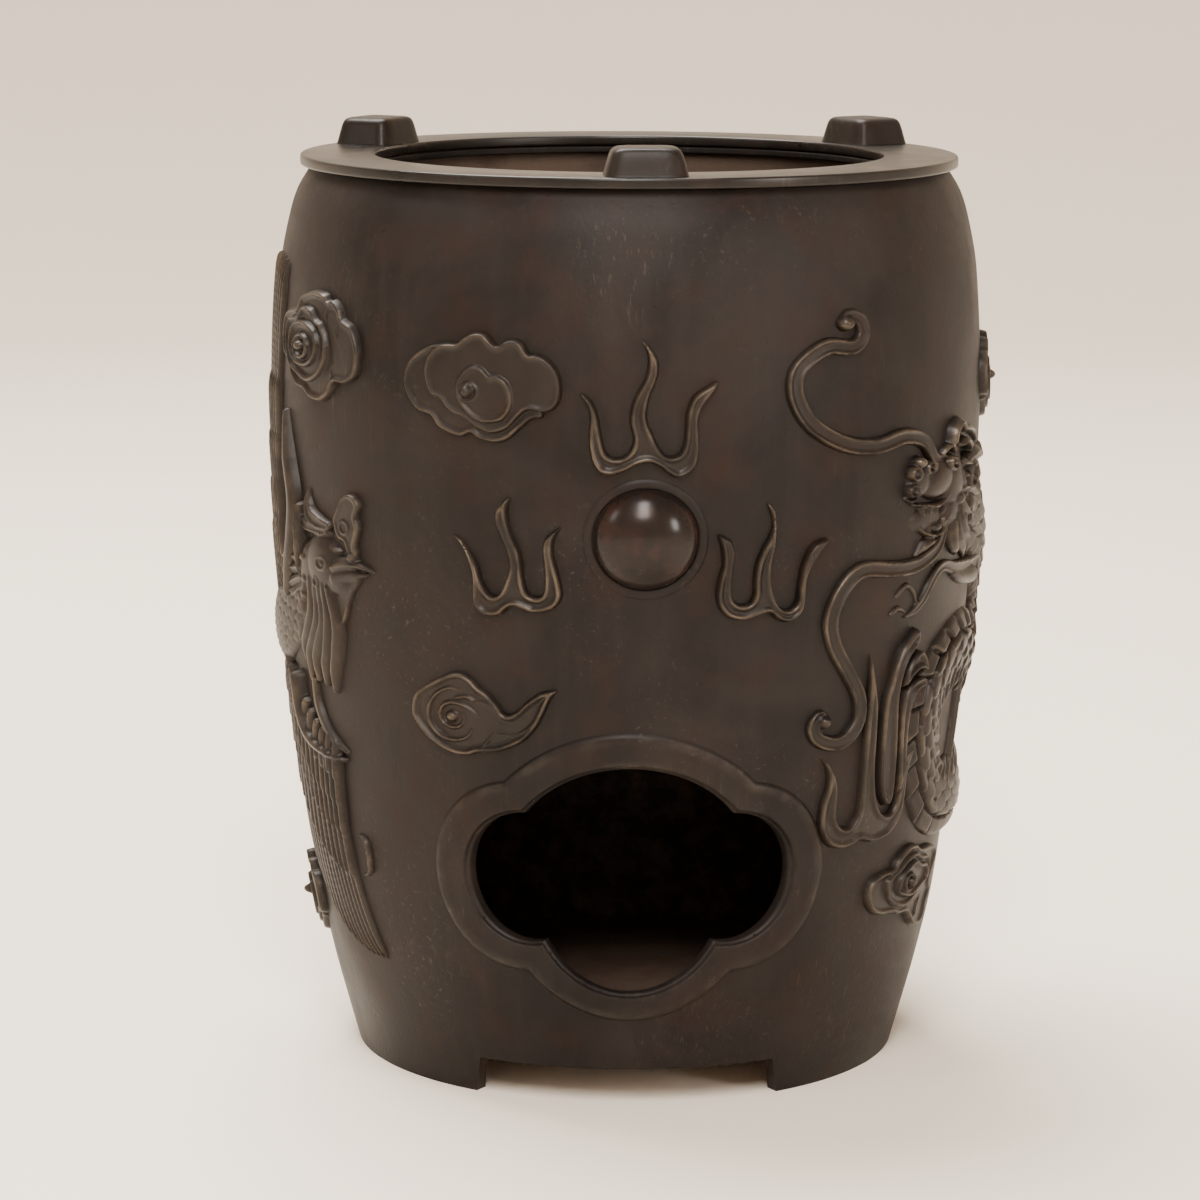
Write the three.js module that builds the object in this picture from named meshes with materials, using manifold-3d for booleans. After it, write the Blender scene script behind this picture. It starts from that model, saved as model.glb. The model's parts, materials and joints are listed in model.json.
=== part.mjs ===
// Tea brazier of cast bronze: a barrel on three legs with a four-lobed air port at the front,
// a hanging charcoal bowl with its grate, a loose ring with three pot rests, and relief mounts
// of a dragon, a phoenix, clouds and a flaming jewel.
// Millimetres, +Z up. The origin is at the bottom centre and the air port faces -Y.
// A place on the barrel is written (u, z): u is the arc round the barrel from the front, on the
// unrolling radius and positive towards +X, and z is the height.

import * as THREE from 'three';
import { mergeVertices } from 'three/addons/utils/BufferGeometryUtils.js';
import Module from 'manifold-3d';

const wasm = await Module();
wasm.setup();

const degrees = Math.PI / 180;

// Clearance between pieces that touch or are brazed together
const seam = 0.3;

// Barrel
const barrelHeight = 235.9;
const footRadius = 72.7;
const bellyRadius = 93.7;
const bellyHeight = 182;
const mouthRadius = 84;
const barrelWall = 4;
const barrelSides = 36;
// The wall is unrolled on this radius, and relief is drawn on it in units of a ninetieth of it
const unrollRadius = 90;
const reliefUnit = unrollRadius / 90;

// How the barrel swells from the foot to the belly: [share of height, share of swell]
const lowerSwell = [[0, 0], [0.055, 0.133], [0.137, 0.321], [0.247, 0.524], [0.44, 0.717],
  [0.66, 0.8745], [0.88, 0.983], [1, 1]];
// How it draws in from the belly to the mouth: [share of height, share of fall]
const shoulderFall = [[0.516, 0.157], [0.737, 0.377], [0.884, 0.622], [1, 1]];

// Foot: three legs left by three notches
const legCount = 3;
const notchHeight = 10;
const notchHalfAngle = 30.5;
const notchFlare = 2.5;

// Mouth collar with the step that the bowl's flange lies in
const stepWidth = 3.8;
const stepDepth = 3;
const collarHeight = 7;
const collarSlope = 14;

// Floor plate
const floorThickness = 2.4;
const floorPlay = 0.1;

// Air port: half widths and heights of its cusps and lobes
const portShift = 1.2;
const portTop = 92;
const portBottom = 31;
const portHalfWidth = 45;
const portWaistHeight = 62;
const upperCusp = [28, 79.5];
const lowerCusp = [23.5, 45];
// How far the outline's parts move for each millimetre of margin round the hole
const marginAtWaist = 1.1;
const marginAtBottom = 0.78;
const marginAtUpperCusp = [0.55, 0.85];
const marginAtLowerCusp = [0.55, -0.9];
const bandWidth = 8.6;
const bandProud = 1.1;
const bandLip = 1.3;
const bandRound = 1;

// Charcoal bowl
const bowlWall = 3;
const bowlMouthRadius = 70;
const bowlBottom = 118;
const bowlFootRadius = 46;
const bowlHoleRadius = 34;
const bowlSides = 24;
const flangeThickness = 2.7;
const flangeClearance = 0.5;

// Grate
const grateRadius = 42;
const grateThickness = 4;
const grateHoleRadius = 3.4;
const grateRings = [[0, 1], [14, 6], [28, 12]];

// Pot ring
const ringRadius = 87;
const ringThickness = 2.8;
const ringEdge = 0.5;
const ringTurn = 3.1;

// Hoop below the pot ring that centres it in the bowl's mouth
const hoopWidth = 2;
const hoopDepth = 1.6;
const hoopClearance = 0.8;

// Pot rests
const restCount = 3;
const restHeight = 7;
const restWidth = 21;
const restTopWidth = 15.5;
const restLength = 17;
const restTopLength = 13;
const restCentreRadius = 76.8;
const restSquareness = 0.42;

// Jewel and its setting
const jewelPlace = [4.5, 150.5];
const jewelRadius = 12.5;
const jewelHeight = 6.4;
const jewelEdge = 0.8;
const settingInner = 13.2;
const settingOuter = 15.2;
const settingProud = 1;

// Height of a relief's underside in the relief drawing, just below its edge
const underside = -0.01;

const ringBottom = barrelHeight + seam;
const ringTop = ringBottom + ringThickness;
const stepHeight = barrelHeight - stepDepth;
const stepRadius = mouthRadius - stepWidth;
const collarRadius = bowlMouthRadius + bowlWall + flangeClearance;
const hoopRadius = bowlMouthRadius - hoopClearance;
const ringHoleRadius = hoopRadius - hoopWidth;
const floorBottom = notchHeight + seam;

/** A smooth curve y(x) through stations [x, y], with each slope taken from its neighbours. */
function smoothThrough(stations) {
  const last = stations.length - 1;
  const slopes = stations.map((_, i) => {
    const before = stations[Math.max(i - 1, 0)];
    const after = stations[Math.min(i + 1, last)];
    return (after[1] - before[1]) / (after[0] - before[0]);
  });
  return (x) => {
    let i = 0;
    while (i < last - 1 && x > stations[i + 1][0]) i += 1;
    const [x0, y0] = stations[i];
    const [x1, y1] = stations[i + 1];
    const span = x1 - x0;
    const t = THREE.MathUtils.clamp((x - x0) / span, 0, 1);
    const rise = t * t * (3 - 2 * t);
    const lead = t * (1 - t) * (1 - t) * slopes[i];
    const trail = t * t * (t - 1) * slopes[i + 1];
    return y0 + (y1 - y0) * rise + span * (lead + trail);
  };
}

const barrelStations = [
  ...lowerSwell.map(([h, s]) => [h * bellyHeight, footRadius + s * (bellyRadius - footRadius)]),
  ...shoulderFall.map(([h, s]) => [
    bellyHeight + h * (barrelHeight - bellyHeight),
    bellyRadius - s * (bellyRadius - mouthRadius),
  ]),
];
const barrelRadius = smoothThrough(barrelStations);

/** The point at arc u and height z, lifted off the barrel's outside. */
function place(u, z, lift) {
  const angle = u / unrollRadius;
  const radius = barrelRadius(z) + lift;
  return new THREE.Vector3(radius * Math.sin(angle), -radius * Math.cos(angle), z);
}

/** The point at (u, z) of the relief drawing, lifted off the seam that it is brazed on. */
function drawn(u, z, lift) {
  return place(u * reliefUnit, z * reliefUnit, seam + lift * reliefUnit);
}

/** A value that runs evenly through a list as t goes from 0 to 1. */
function along(values, t) {
  const x = t * (values.length - 1);
  const i = Math.min(Math.floor(x), values.length - 2);
  return values[i] + (values[i + 1] - values[i]) * (x - i);
}

/** Points of the arc that starts at a, passes through b and ends at c, without c. */
function arcThrough(a, b, c, steps) {
  const [ax, ay] = a;
  const [bx, by] = b;
  const [cx, cy] = c;
  const d = 2 * (ax * (by - cy) + bx * (cy - ay) + cx * (ay - by));
  const a2 = ax * ax + ay * ay;
  const b2 = bx * bx + by * by;
  const c2 = cx * cx + cy * cy;
  const ox = (a2 * (by - cy) + b2 * (cy - ay) + c2 * (ay - by)) / d;
  const oy = (a2 * (cx - bx) + b2 * (ax - cx) + c2 * (bx - ax)) / d;
  const radius = Math.hypot(ax - ox, ay - oy);
  const start = Math.atan2(ay - oy, ax - ox);
  const turn = (x, y) => {
    const angle = Math.atan2(y - oy, x - ox) - start;
    return THREE.MathUtils.euclideanModulo(angle, 2 * Math.PI);
  };
  const sweep = turn(bx, by) < turn(cx, cy) ? turn(cx, cy) : turn(cx, cy) - 2 * Math.PI;
  return Array.from({ length: steps }, (_, i) => {
    const angle = start + (sweep * i) / steps;
    return [ox + radius * Math.cos(angle), oy + radius * Math.sin(angle)];
  });
}

/** A closed geometry from points and triangles, turned so that its faces point out. */
function closedMesh(points, triangles) {
  const volume = triangles.reduce((sum, [a, b, c]) => {
    const cross = new THREE.Vector3().crossVectors(points[b], points[c]);
    return sum + points[a].dot(cross);
  }, 0);
  const index = triangles.flatMap(([a, b, c]) => (volume > 0 ? [a, b, c] : [a, c, b]));
  const geometry = new THREE.BufferGeometry();
  const flat = points.flatMap((p) => [p.x, p.y, p.z]);
  geometry.setAttribute('position', new THREE.Float32BufferAttribute(flat, 3));
  geometry.setIndex(index);
  return geometry;
}

/** A skin through closed rings of equal point counts, with a fan over each end. */
function loft(rings) {
  const count = rings[0].length;
  const points = rings.flat();
  const triangles = [];
  for (let r = 0; r < rings.length - 1; r += 1) {
    for (let i = 0; i < count; i += 1) {
      const a = r * count + i;
      const b = r * count + ((i + 1) % count);
      triangles.push([a, b, b + count], [a, b + count, a + count]);
    }
  }
  const fan = (ring, first, facing) => {
    const centre = ring.reduce((sum, p) => sum.add(p), new THREE.Vector3());
    points.push(centre.divideScalar(count));
    const hub = points.length - 1;
    for (let i = 0; i < count; i += 1) {
      const a = first + i;
      const b = first + ((i + 1) % count);
      triangles.push(facing ? [hub, b, a] : [hub, a, b]);
    }
  };
  fan(rings[0], 0, true);
  fan(rings[rings.length - 1], (rings.length - 1) * count, false);
  return closedMesh(points, triangles);
}

/** A ring section turned into a closed body of revolution about Z, from a profile [r, z]. */
function revolve(profile, sides = barrelSides) {
  const points = profile.map(([r, z]) => new THREE.Vector2(r, z));
  points.push(points[0].clone());
  const geometry = new THREE.LatheGeometry(points, sides);
  geometry.rotateX(Math.PI / 2);
  return merged(geometry);
}

/** The same geometry with only merged positions, its faces pointing out. */
function merged(geometry) {
  geometry.deleteAttribute('normal');
  geometry.deleteAttribute('uv');
  const clean = mergeVertices(geometry, 1e-4);
  const position = clean.getAttribute('position');
  const points = Array.from({ length: position.count }, (_, i) =>
    new THREE.Vector3().fromBufferAttribute(position, i));
  const index = Array.from(clean.getIndex().array);
  const triangles = [];
  for (let i = 0; i < index.length; i += 3) {
    const [a, b, c] = index.slice(i, i + 3);
    if (a !== b && b !== c && c !== a) triangles.push([a, b, c]);
  }
  return closedMesh(points, triangles);
}

/** A geometry as a solid that can be joined and cut. */
function solid(geometry) {
  return new wasm.Manifold(new wasm.Mesh({
    numProp: 3,
    vertProperties: new Float32Array(geometry.getAttribute('position').array),
    triVerts: new Uint32Array(geometry.getIndex().array),
  }));
}

/** A solid back as a geometry. */
function surface(body) {
  const mesh = body.getMesh();
  const geometry = new THREE.BufferGeometry();
  geometry.setAttribute('position', new THREE.BufferAttribute(mesh.vertProperties, 3));
  geometry.setIndex(new THREE.BufferAttribute(mesh.triVerts, 1));
  return geometry;
}

/** Several geometries joined into one. */
function fuse(geometries) {
  return surface(geometries.map(solid).reduce((sum, next) => sum.add(next)));
}

/** The first geometry with the others cut away from it. */
function carve(geometry, cutters) {
  return surface(cutters.map(solid).reduce((sum, next) => sum.subtract(next), solid(geometry)));
}

/** Barrel wall between its outline and the same outline moved in, with collar and step. */
function barrelShell() {
  const heights = barrelStations.map(([z]) => z);
  const collarBottom = stepHeight - collarHeight;
  const insideTop = collarBottom - collarSlope;
  const outside = heights.map((z) => [barrelRadius(z), z]);
  const inside = heights.filter((z, i) => i % 2 === 0 && z < insideTop)
    .map((z) => [barrelRadius(z) - barrelWall, z]);
  return revolve([
    ...outside,
    [stepRadius, barrelHeight],
    [stepRadius, stepHeight],
    [collarRadius, stepHeight],
    [collarRadius, collarBottom],
    [barrelRadius(insideTop) - barrelWall, insideTop],
    ...inside.reverse(),
  ]);
}

/** A wedge that cuts one foot notch, wider at the floor than at its top. */
function notchCutter(turn) {
  const reach = 1.2 * bellyRadius;
  const low = (notchHalfAngle + notchFlare) * degrees;
  const high = notchHalfAngle * degrees;
  const corner = (angle, radius, z) => {
    const a = turn + angle;
    return new THREE.Vector3(radius * Math.sin(a), -radius * Math.cos(a), z);
  };
  const level = (half, z) => [
    corner(-half, footRadius / 2, z),
    corner(-half, reach, z),
    corner(0, reach, z),
    corner(half, reach, z),
    corner(half, footRadius / 2, z),
  ];
  return loft([level(low, -1), level(high, notchHeight)]);
}

/** Outline of the four-lobed port, moved out by a margin, as points (u, z). */
function portOutline(margin, steps = 9) {
  const moved = ([x, z], [perX, perZ]) => [x + margin * perX, z + margin * perZ];
  const topCusp = moved(upperCusp, marginAtUpperCusp);
  const lowCusp = moved(lowerCusp, marginAtLowerCusp);
  const mirror = ([x, z]) => [-x, z];
  const waist = [portHalfWidth + margin * marginAtWaist, portWaistHeight];
  return [
    ...arcThrough(mirror(topCusp), [0, portTop + margin], topCusp, steps),
    ...arcThrough(topCusp, waist, lowCusp, steps),
    ...arcThrough(lowCusp, [0, portBottom - margin * marginAtBottom], mirror(lowCusp), steps),
    ...arcThrough(mirror(lowCusp), mirror(waist), mirror(topCusp), steps),
  ].map(([u, z]) => [u + portShift, z]);
}

/** A block through the wall with the port's outline, its sides square to the wall. */
function portCutter() {
  const reach = 4 * barrelWall;
  const ring = (lift) => portOutline(0).map(([u, z]) => place(u, z, lift));
  return loft([ring(-reach), ring(reach)]);
}

/** Flat raised band round the port. */
function portBand() {
  const outer = portOutline(bandWidth);
  const inner = portOutline(bandLip);
  const rows = [
    inner.map(([u, z]) => place(u, z, seam)),
    outer.map(([u, z]) => place(u, z, seam)),
    outer.map(([u, z]) => place(u, z, (seam + bandProud) / 2)),
    portOutline(bandWidth - bandRound).map(([u, z]) => place(u, z, bandProud)),
    inner.map(([u, z]) => place(u, z, bandProud)),
  ];
  const count = outer.length;
  const triangles = [];
  rows.forEach((_, r) => {
    const next = (r + 1) % rows.length;
    for (let i = 0; i < count; i += 1) {
      const j = (i + 1) % count;
      const corners = [r * count + i, r * count + j, next * count + j, next * count + i];
      triangles.push([corners[0], corners[1], corners[2]], [corners[0], corners[2], corners[3]]);
    }
  });
  return closedMesh(rows.flat(), triangles);
}

/** Charcoal bowl: a flange at the mouth, a drawn-in wall and a hole in its bottom. */
function bowlShell() {
  const flangeTop = barrelHeight;
  const flangeBottom = flangeTop - flangeThickness;
  const depth = flangeBottom - bowlBottom;
  const sides = [[1, 0], [0.94, 0.35], [0.77, 0.65], [0.41, 0.88], [0, 1]];
  const outside = sides.map(([swell, fall]) => [
    bowlFootRadius + bowlWall + (bowlMouthRadius - bowlFootRadius) * swell,
    flangeBottom - depth * fall,
  ]);
  const inside = outside.map(([r, z], i) => [
    r - bowlWall,
    Math.max(z, bowlBottom + bowlWall) + (i === 0 ? flangeThickness : 0),
  ]);
  return revolve([
    [bowlHoleRadius, bowlBottom],
    ...outside.reverse(),
    [stepRadius - flangeClearance, flangeBottom],
    [stepRadius - flangeClearance, flangeTop],
    ...inside,
    [bowlHoleRadius, bowlBottom + bowlWall],
  ], bowlSides);
}

/** Round grate with rings of air holes. */
function grateDisc() {
  const rim = new THREE.EllipseCurve(0, 0, grateRadius, grateRadius).getPoints(bowlSides).slice(0, -1);
  const disc = new THREE.Shape(rim);
  grateRings.forEach(([radius, count], ring) => {
    for (let i = 0; i < count; i += 1) {
      const angle = (2 * Math.PI * (i + ring / 2)) / count;
      const hole = new THREE.Path();
      const x = radius * Math.cos(angle);
      const y = radius * Math.sin(angle);
      hole.absarc(x, y, grateHoleRadius, 0, 2 * Math.PI);
      disc.holes.push(hole);
    }
  });
  const options = { depth: grateThickness, bevelEnabled: false, curveSegments: 3 };
  return merged(new THREE.ExtrudeGeometry(disc, options));
}

/** Loose ring with soft edges. */
function ringDisc() {
  const e = ringEdge;
  return revolve([
    [ringHoleRadius, ringBottom],
    [ringRadius - e, ringBottom],
    [ringRadius, ringBottom + e],
    [ringRadius, ringTop - e],
    [ringRadius - e, ringTop],
    [ringHoleRadius + e, ringTop],
    [ringHoleRadius, ringTop - e],
  ]);
}

/** Short hoop brazed under the ring, which centres it in the bowl's mouth. */
function hoop() {
  const top = ringBottom - seam;
  return revolve([
    [ringHoleRadius, top - hoopDepth],
    [hoopRadius, top - hoopDepth],
    [hoopRadius, top],
    [ringHoleRadius, top],
  ], bowlSides);
}

/** One pot rest: a tapered block with rounded corners and a softened top, at the origin. */
function restBlock() {
  const levels = [[0, 0], [0.35, 0.3], [0.8, 0.78], [0.95, 1.02], [1, 1.25]];
  const around = 12;
  return loft(levels.map(([height, share]) => {
    const width = restWidth + (restTopWidth - restWidth) * share;
    const length = restLength + (restTopLength - restLength) * share;
    return Array.from({ length: around }, (_, i) => {
      const angle = (2 * Math.PI * (i + 0.5)) / around;
      const round = (value) => Math.sign(value) * Math.abs(value) ** restSquareness;
      return new THREE.Vector3(
        (width / 2) * round(Math.cos(angle)),
        (length / 2) * round(Math.sin(angle)),
        restHeight * height,
      );
    });
  }));
}

/**
 * A raised strand along points (u, z): half round on top, following the barrel beneath.
 * The half widths and heights run evenly along it, and columns is its steps across.
 */
function strand(points, halfWidths, heights, { steps = 6, columns = 2 } = {}) {
  const curve = new THREE.SplineCurve(points.map(([u, z]) => new THREE.Vector2(u, z)));
  const rings = Array.from({ length: steps + 1 }, (_, i) => {
    const t = i / steps;
    const centre = curve.getPoint(t);
    const tangent = curve.getTangent(t);
    const width = along(halfWidths, t);
    const height = along(heights, t);
    const at = (across, lift) => drawn(
      centre.x - tangent.y * across * width,
      centre.y + tangent.x * across * width,
      lift,
    );
    const ring = [];
    for (let c = 0; c <= columns; c += 1) {
      const across = -Math.cos((Math.PI * c) / columns);
      ring.push(at(across, height * Math.sqrt(Math.max(0, 1 - across * across))));
    }
    ring.push(at(0, underside));
    return ring;
  });
  return loft(rings);
}

/** A rounded lump over an ellipse at (u, z), turned by an angle in degrees. */
function lump([u, z], [a, b], height, turn = 0, spokes = 8) {
  const cos = Math.cos(turn * degrees);
  const sin = Math.sin(turn * degrees);
  const ring = (share, lift) => Array.from({ length: spokes }, (_, i) => {
    const angle = (2 * Math.PI * i) / spokes;
    const x = a * share * Math.cos(angle);
    const y = b * share * Math.sin(angle);
    return drawn(u + x * cos - y * sin, z + x * sin + y * cos, lift);
  });
  return loft([
    ring(0.5, underside),
    ring(1, 0),
    ring(0.86, height * 0.6),
    ring(0.5, height * 0.95),
  ]);
}

/** A layered cloud: lobed outline, stepped rings and a pointed knob at its middle. */
function cloudPlate([u, z], [a, b], lobes, height) {
  const spokes = lobes * 4;
  const notchShare = 0.2;
  const layers = [[0.5, 0, 1], [1, 0, 1], [0.86, 0.6, 1], [0.6, 0.4, 0.7], [0.16, 1.05, 0]];
  const rings = layers.map(([share, lift, lobed]) => Array.from({ length: spokes }, (_, i) => {
    const angle = (2 * Math.PI * i) / spokes;
    const bulge = 1 - notchShare * lobed * (1 - Math.abs(Math.sin((lobes * angle) / 2)));
    const x = a * share * bulge * Math.cos(angle);
    const y = b * share * bulge * Math.sin(angle);
    return drawn(u + x, z + y, lift * height + underside);
  }));
  return loft(rings);
}

/** Three flame tongues on a two-lobed foot, as strands that run into each other. */
function flame([u, z], size) {
  const at = (x, y) => [u + x * size, z + y * size];
  const tongue = (points, width) => strand(
    points.map(([x, y]) => at(x, y)),
    [1.6 * width * size, 2.1 * width * size, 1.5 * width * size, 0.35],
    [1.6, 2.3, 1.9, 0.6],
    { steps: 5 },
  );
  return fuse([
    tongue([[-1, 1.5], [-6.5, 2], [-9.5, 7], [-10.5, 13], [-14.5, 20]], 1.1),
    tongue([[1.5, 1.5], [-0.5, 8], [2, 16], [0.5, 24], [-1, 32]], 1.15),
    tongue([[1, 1.5], [7.5, 2], [11, 7], [11.5, 13], [16, 21]], 1.1),
    strand([at(-9, 4), at(-4.5, 0.6), at(0.5, 2.4), at(5.5, 0.6), at(10, 4)],
      [1.2 * size, 2.4 * size, 1.8 * size, 2.4 * size, 1.2 * size], [1.4, 2.1, 1.8, 2.1, 1.4],
      { steps: 4 }),
  ]);
}

/** Spiral cloud: a round plate with a spiral ridge, and a trailing tail. */
function spiralCloud() {
  const [u, z] = [-46.5, 104];
  const [a, b] = [12, 10.3];
  const spokes = 16;
  const whorls = 2.2;
  const shares = [0.14, 0.32, 0.48, 0.64, 0.8, 0.95];
  const ring = (share, liftAt) => Array.from({ length: spokes }, (_, i) => {
    const angle = (2 * Math.PI * i) / spokes;
    const x = a * share * Math.cos(angle);
    const y = b * share * Math.sin(angle);
    return drawn(u + x, z + y, liftAt(share, angle));
  });
  const spiral = (share, angle) => 1.5 + 0.7 * Math.cos(2 * Math.PI * whorls * share - angle);
  return fuse([
    loft([
      ring(0.5, () => underside),
      ring(1, () => 0),
      ...shares.reverse().map((share) => ring(share, spiral)),
    ]),
    strand([[-42, 96], [-32, 97], [-26, 102], [-18, 111]], [3, 3.2, 2.4, 0.5], [2, 1.9, 1.6, 0.5]),
    strand([[-38, 106], [-30, 103.5], [-24, 108], [-18, 111]], [1.4, 1.6, 1.2, 0.4], [2, 1.9, 1.5, 0.5]),
  ]);
}

/** A curl: a strand that ends in a hook, with its widest part a third of the way along. */
function curl(points, width, height, steps) {
  const widths = [0.75, 1, 1, 0.95, 0.9, 0.6].map((share) => share * width);
  const heights = [0.8, 1, 1, 1, 0.9, 0.6].map((share) => share * height);
  return strand(points, widths, heights, { steps });
}

/**
 * A wing or a row of plumes as one fan between a curve of roots and a curve of tips. Each feather
 * is a ridge with a valley on either side. The rows [share where it ends, lift at its root, lift
 * at its tip] follow each other, and each steps down onto the next. The feathers bow sideways.
 */
function wing(roots, tips, count, rows, bow = 0) {
  const rootCurve = new THREE.SplineCurve(roots.map(([u, z]) => new THREE.Vector2(u, z)));
  const tipCurve = new THREE.SplineCurve(tips.map(([u, z]) => new THREE.Vector2(u, z)));
  const stations = 2 * count;
  const valleyLift = 0.6;
  const valleyReach = 0.92;
  const tread = 0.01;
  const stepDown = 0.7;
  return loft(Array.from({ length: stations + 1 }, (_, i) => {
    const root = rootCurve.getPoint(i / stations);
    const tip = tipCurve.getPoint(i / stations);
    const across = new THREE.Vector2(root.y - tip.y, tip.x - root.x).normalize();
    const [reach, rise] = i % 2 === 1 ? [1, 1] : [valleyReach, valleyLift];
    const at = (share, lift) => {
      const point = root.clone().lerp(tip, share);
      point.addScaledVector(across, 4 * bow * share * (1 - share));
      return drawn(point.x, point.y, lift);
    };
    const top = rows.flatMap(([end, rootLift, tipLift], row) => {
      const begin = row ? rows[row - 1][0] * reach + tread : 0;
      const rootRise = row ? rise * stepDown : rise;
      return [at(begin, rootLift * rootRise), at(end * reach, tipLift * rise)];
    });
    const back = rows.map((_row, k) => at(reach * (1 - (k + 1) / (rows.length + 1)), underside));
    return [at(0, underside), ...top, at(reach, underside), ...back];
  }));
}

/** Dragon's head in profile, jaws open to the front, with brow, horns and mane. */
function dragonHead() {
  return fuse([
    lump([99, 158], [11, 9.5], 7, -15, 12),
    lump([90, 160.5], [8.5, 5.2], 6, 8),
    lump([85.5, 163], [3.6, 3.4], 6.6),
    lump([94.5, 163.5], [4, 3], 7.6, 20),
    lump([90, 147.5], [8, 3.4], 4.6, 14),
    lump([100, 149.5], [7, 6], 5.6, 30),
    strand([[99, 165], [103, 170], [108, 171.5], [117, 168]], [2.4, 2.2, 1.8, 0.5], [6, 5, 4, 1.5]),
    strand([[98, 163], [99, 169], [97, 172], [101, 174.5]], [2, 1.8, 1.4, 0.5], [6, 5, 4, 2],
      { steps: 4 }),
    strand([[103, 160], [110, 161], [114, 158], [122, 160]], [3.4, 3, 2.2, 0.6], [6, 5, 4, 1.5],
      { steps: 5 }),
    strand([[104, 155], [111, 154], [117, 149], [126, 151]], [3.4, 3, 2.4, 0.6], [6, 5, 4, 1.5],
      { steps: 5 }),
    strand([[104, 151], [110, 144.5], [115, 139], [119, 132]], [4, 3.6, 2.8, 0.7], [6, 5, 4, 1.5],
      { steps: 5 }),
    strand([[88, 145], [86, 141.5], [83, 140], [80, 144]], [1.8, 1.8, 1.4, 0.4], [3.5, 3, 2.4, 1],
      { steps: 4 }),
  ]);
}

/** Dragon's body: a thick strand that loops, with a lobed back ridge and one clawed leg. */
function dragonBody() {
  const path = [[112, 148], [126, 142], [141, 131], [145, 118], [134, 108], [117, 111], [101, 107],
    [93.5, 96], [95.5, 84], [104, 74], [119, 70], [138, 68], [157, 71], [171, 82], [180, 99],
    [190, 118], [205, 131], [222, 132], [235, 122]];
  const widths = [8, 9, 9.5, 9.5, 9.5, 9, 9, 9, 9.5, 9.5, 9.5, 9, 9, 8.5, 8, 7, 5.5, 4, 1.5];
  const heights = [5, 6, 6.4, 6.4, 6, 5.6, 5.6, 6, 6.2, 6.2, 6, 6.2, 6.4, 6, 5.4, 5, 4, 3, 1.5];
  return strand(path, widths, heights, { steps: 40, columns: 4 });
}

/** Back fin of the near coil: one saw-toothed ridge. */
function dragonFin() {
  const teeth = 7;
  const saw = (low, high) => Array.from({ length: 2 * teeth + 1 }, (_, i) => (i % 2 ? high : low));
  return strand([[116, 118], [121, 108], [120, 92], [117, 78], [121, 70]], saw(2.4, 5), saw(2.4, 4.4),
    { steps: 2 * teeth });
}

/** Flames that lick up from below the dragon's shoulder. */
function dragonFlame() {
  return fuse([
    strand([[63, 68.5], [56.5, 73], [57, 82], [56, 88], [52, 92]], [3, 3.4, 2.8, 2.2, 0.5],
      [2.4, 2.8, 2.4, 2, 0.8], { steps: 7 }),
    strand([[66, 69], [69.5, 76], [69.5, 90], [68.5, 104], [67.5, 117]], [3, 2.6, 2.2, 1.8, 0.4],
      [2.6, 3, 2.8, 2.4, 0.8], { steps: 5 }),
    strand([[62, 68.5], [70, 69], [77, 69.5], [83, 73]], [2.8, 3.4, 3, 2.6], [2.4, 2.8, 2.6, 2.4]),
    strand([[82, 72], [84.5, 80], [85, 87], [88, 91]], [2.6, 2.2, 2, 0.5], [2.6, 3, 2.8, 1]),
    strand([[76.5, 70], [76, 88], [76.5, 100], [78.5, 110], [84.5, 119]], [2, 2.2, 2, 1.8, 0.5],
      [2, 2.4, 2.4, 2.4, 1]),
    strand([[82, 80], [80.5, 90], [81, 101], [86, 107], [90, 109.5]], [1.4, 1.6, 1.8, 1.8, 1],
      [2, 2.4, 2.4, 2.6, 2]),
  ]);
}

/** Foreleg that reaches forward from the neck, with three claws. */
function dragonForeleg() {
  return fuse([
    strand([[128, 131], [116, 129.5], [105, 131.5], [98, 135], [92, 132], [88, 127.5], [84, 125.5]],
      [4, 3.4, 3, 2.2, 1.9, 1.6, 0.6], [4, 3.6, 3.2, 2.8, 2.6, 2.2, 1], { steps: 9 }),
    strand([[116, 125], [106, 128.5], [100, 134]], [2.8, 2.2, 1.4], [3, 2.6, 2.2], { steps: 6 }),
    strand([[87, 128], [84.5, 131], [80.5, 133.5]], [1.3, 1.3, 0.4], [2.2, 2, 0.8], { steps: 5 }),
  ]);
}

/** Hind leg on the far side: thigh, shank and three claws. */
function dragonHindleg() {
  const claws = [[-8, 2], [-7, -5], [1, -8]].map(([x, y]) => strand(
    [[147, 92], [147 + x * 0.6, 92 + y * 0.6 + 1.5], [147 + x, 92 + y]],
    [1.7, 1.5, 0.4],
    [3.4, 3, 0.8],
    { steps: 3 },
  ));
  return fuse([
    strand([[166, 83], [160, 95], [153, 101], [147, 92]], [7, 6, 4, 2.8], [5.4, 5, 4.4, 3.6],
      { steps: 7, columns: 4 }),
    ...claws,
  ]);
}

/** Tail end of the dragon: a tuft of three flames. */
function dragonTail() {
  return fuse([
    strand([[232, 126], [241, 116], [252, 113]], [3.4, 3, 0.5], [3.4, 3, 1]),
    strand([[231, 128], [243, 126], [254, 130]], [3.2, 2.8, 0.5], [3.4, 3, 1]),
    strand([[231, 129], [239, 137], [245, 147]], [3, 2.6, 0.5], [3.4, 3, 1]),
  ]);
}

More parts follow.
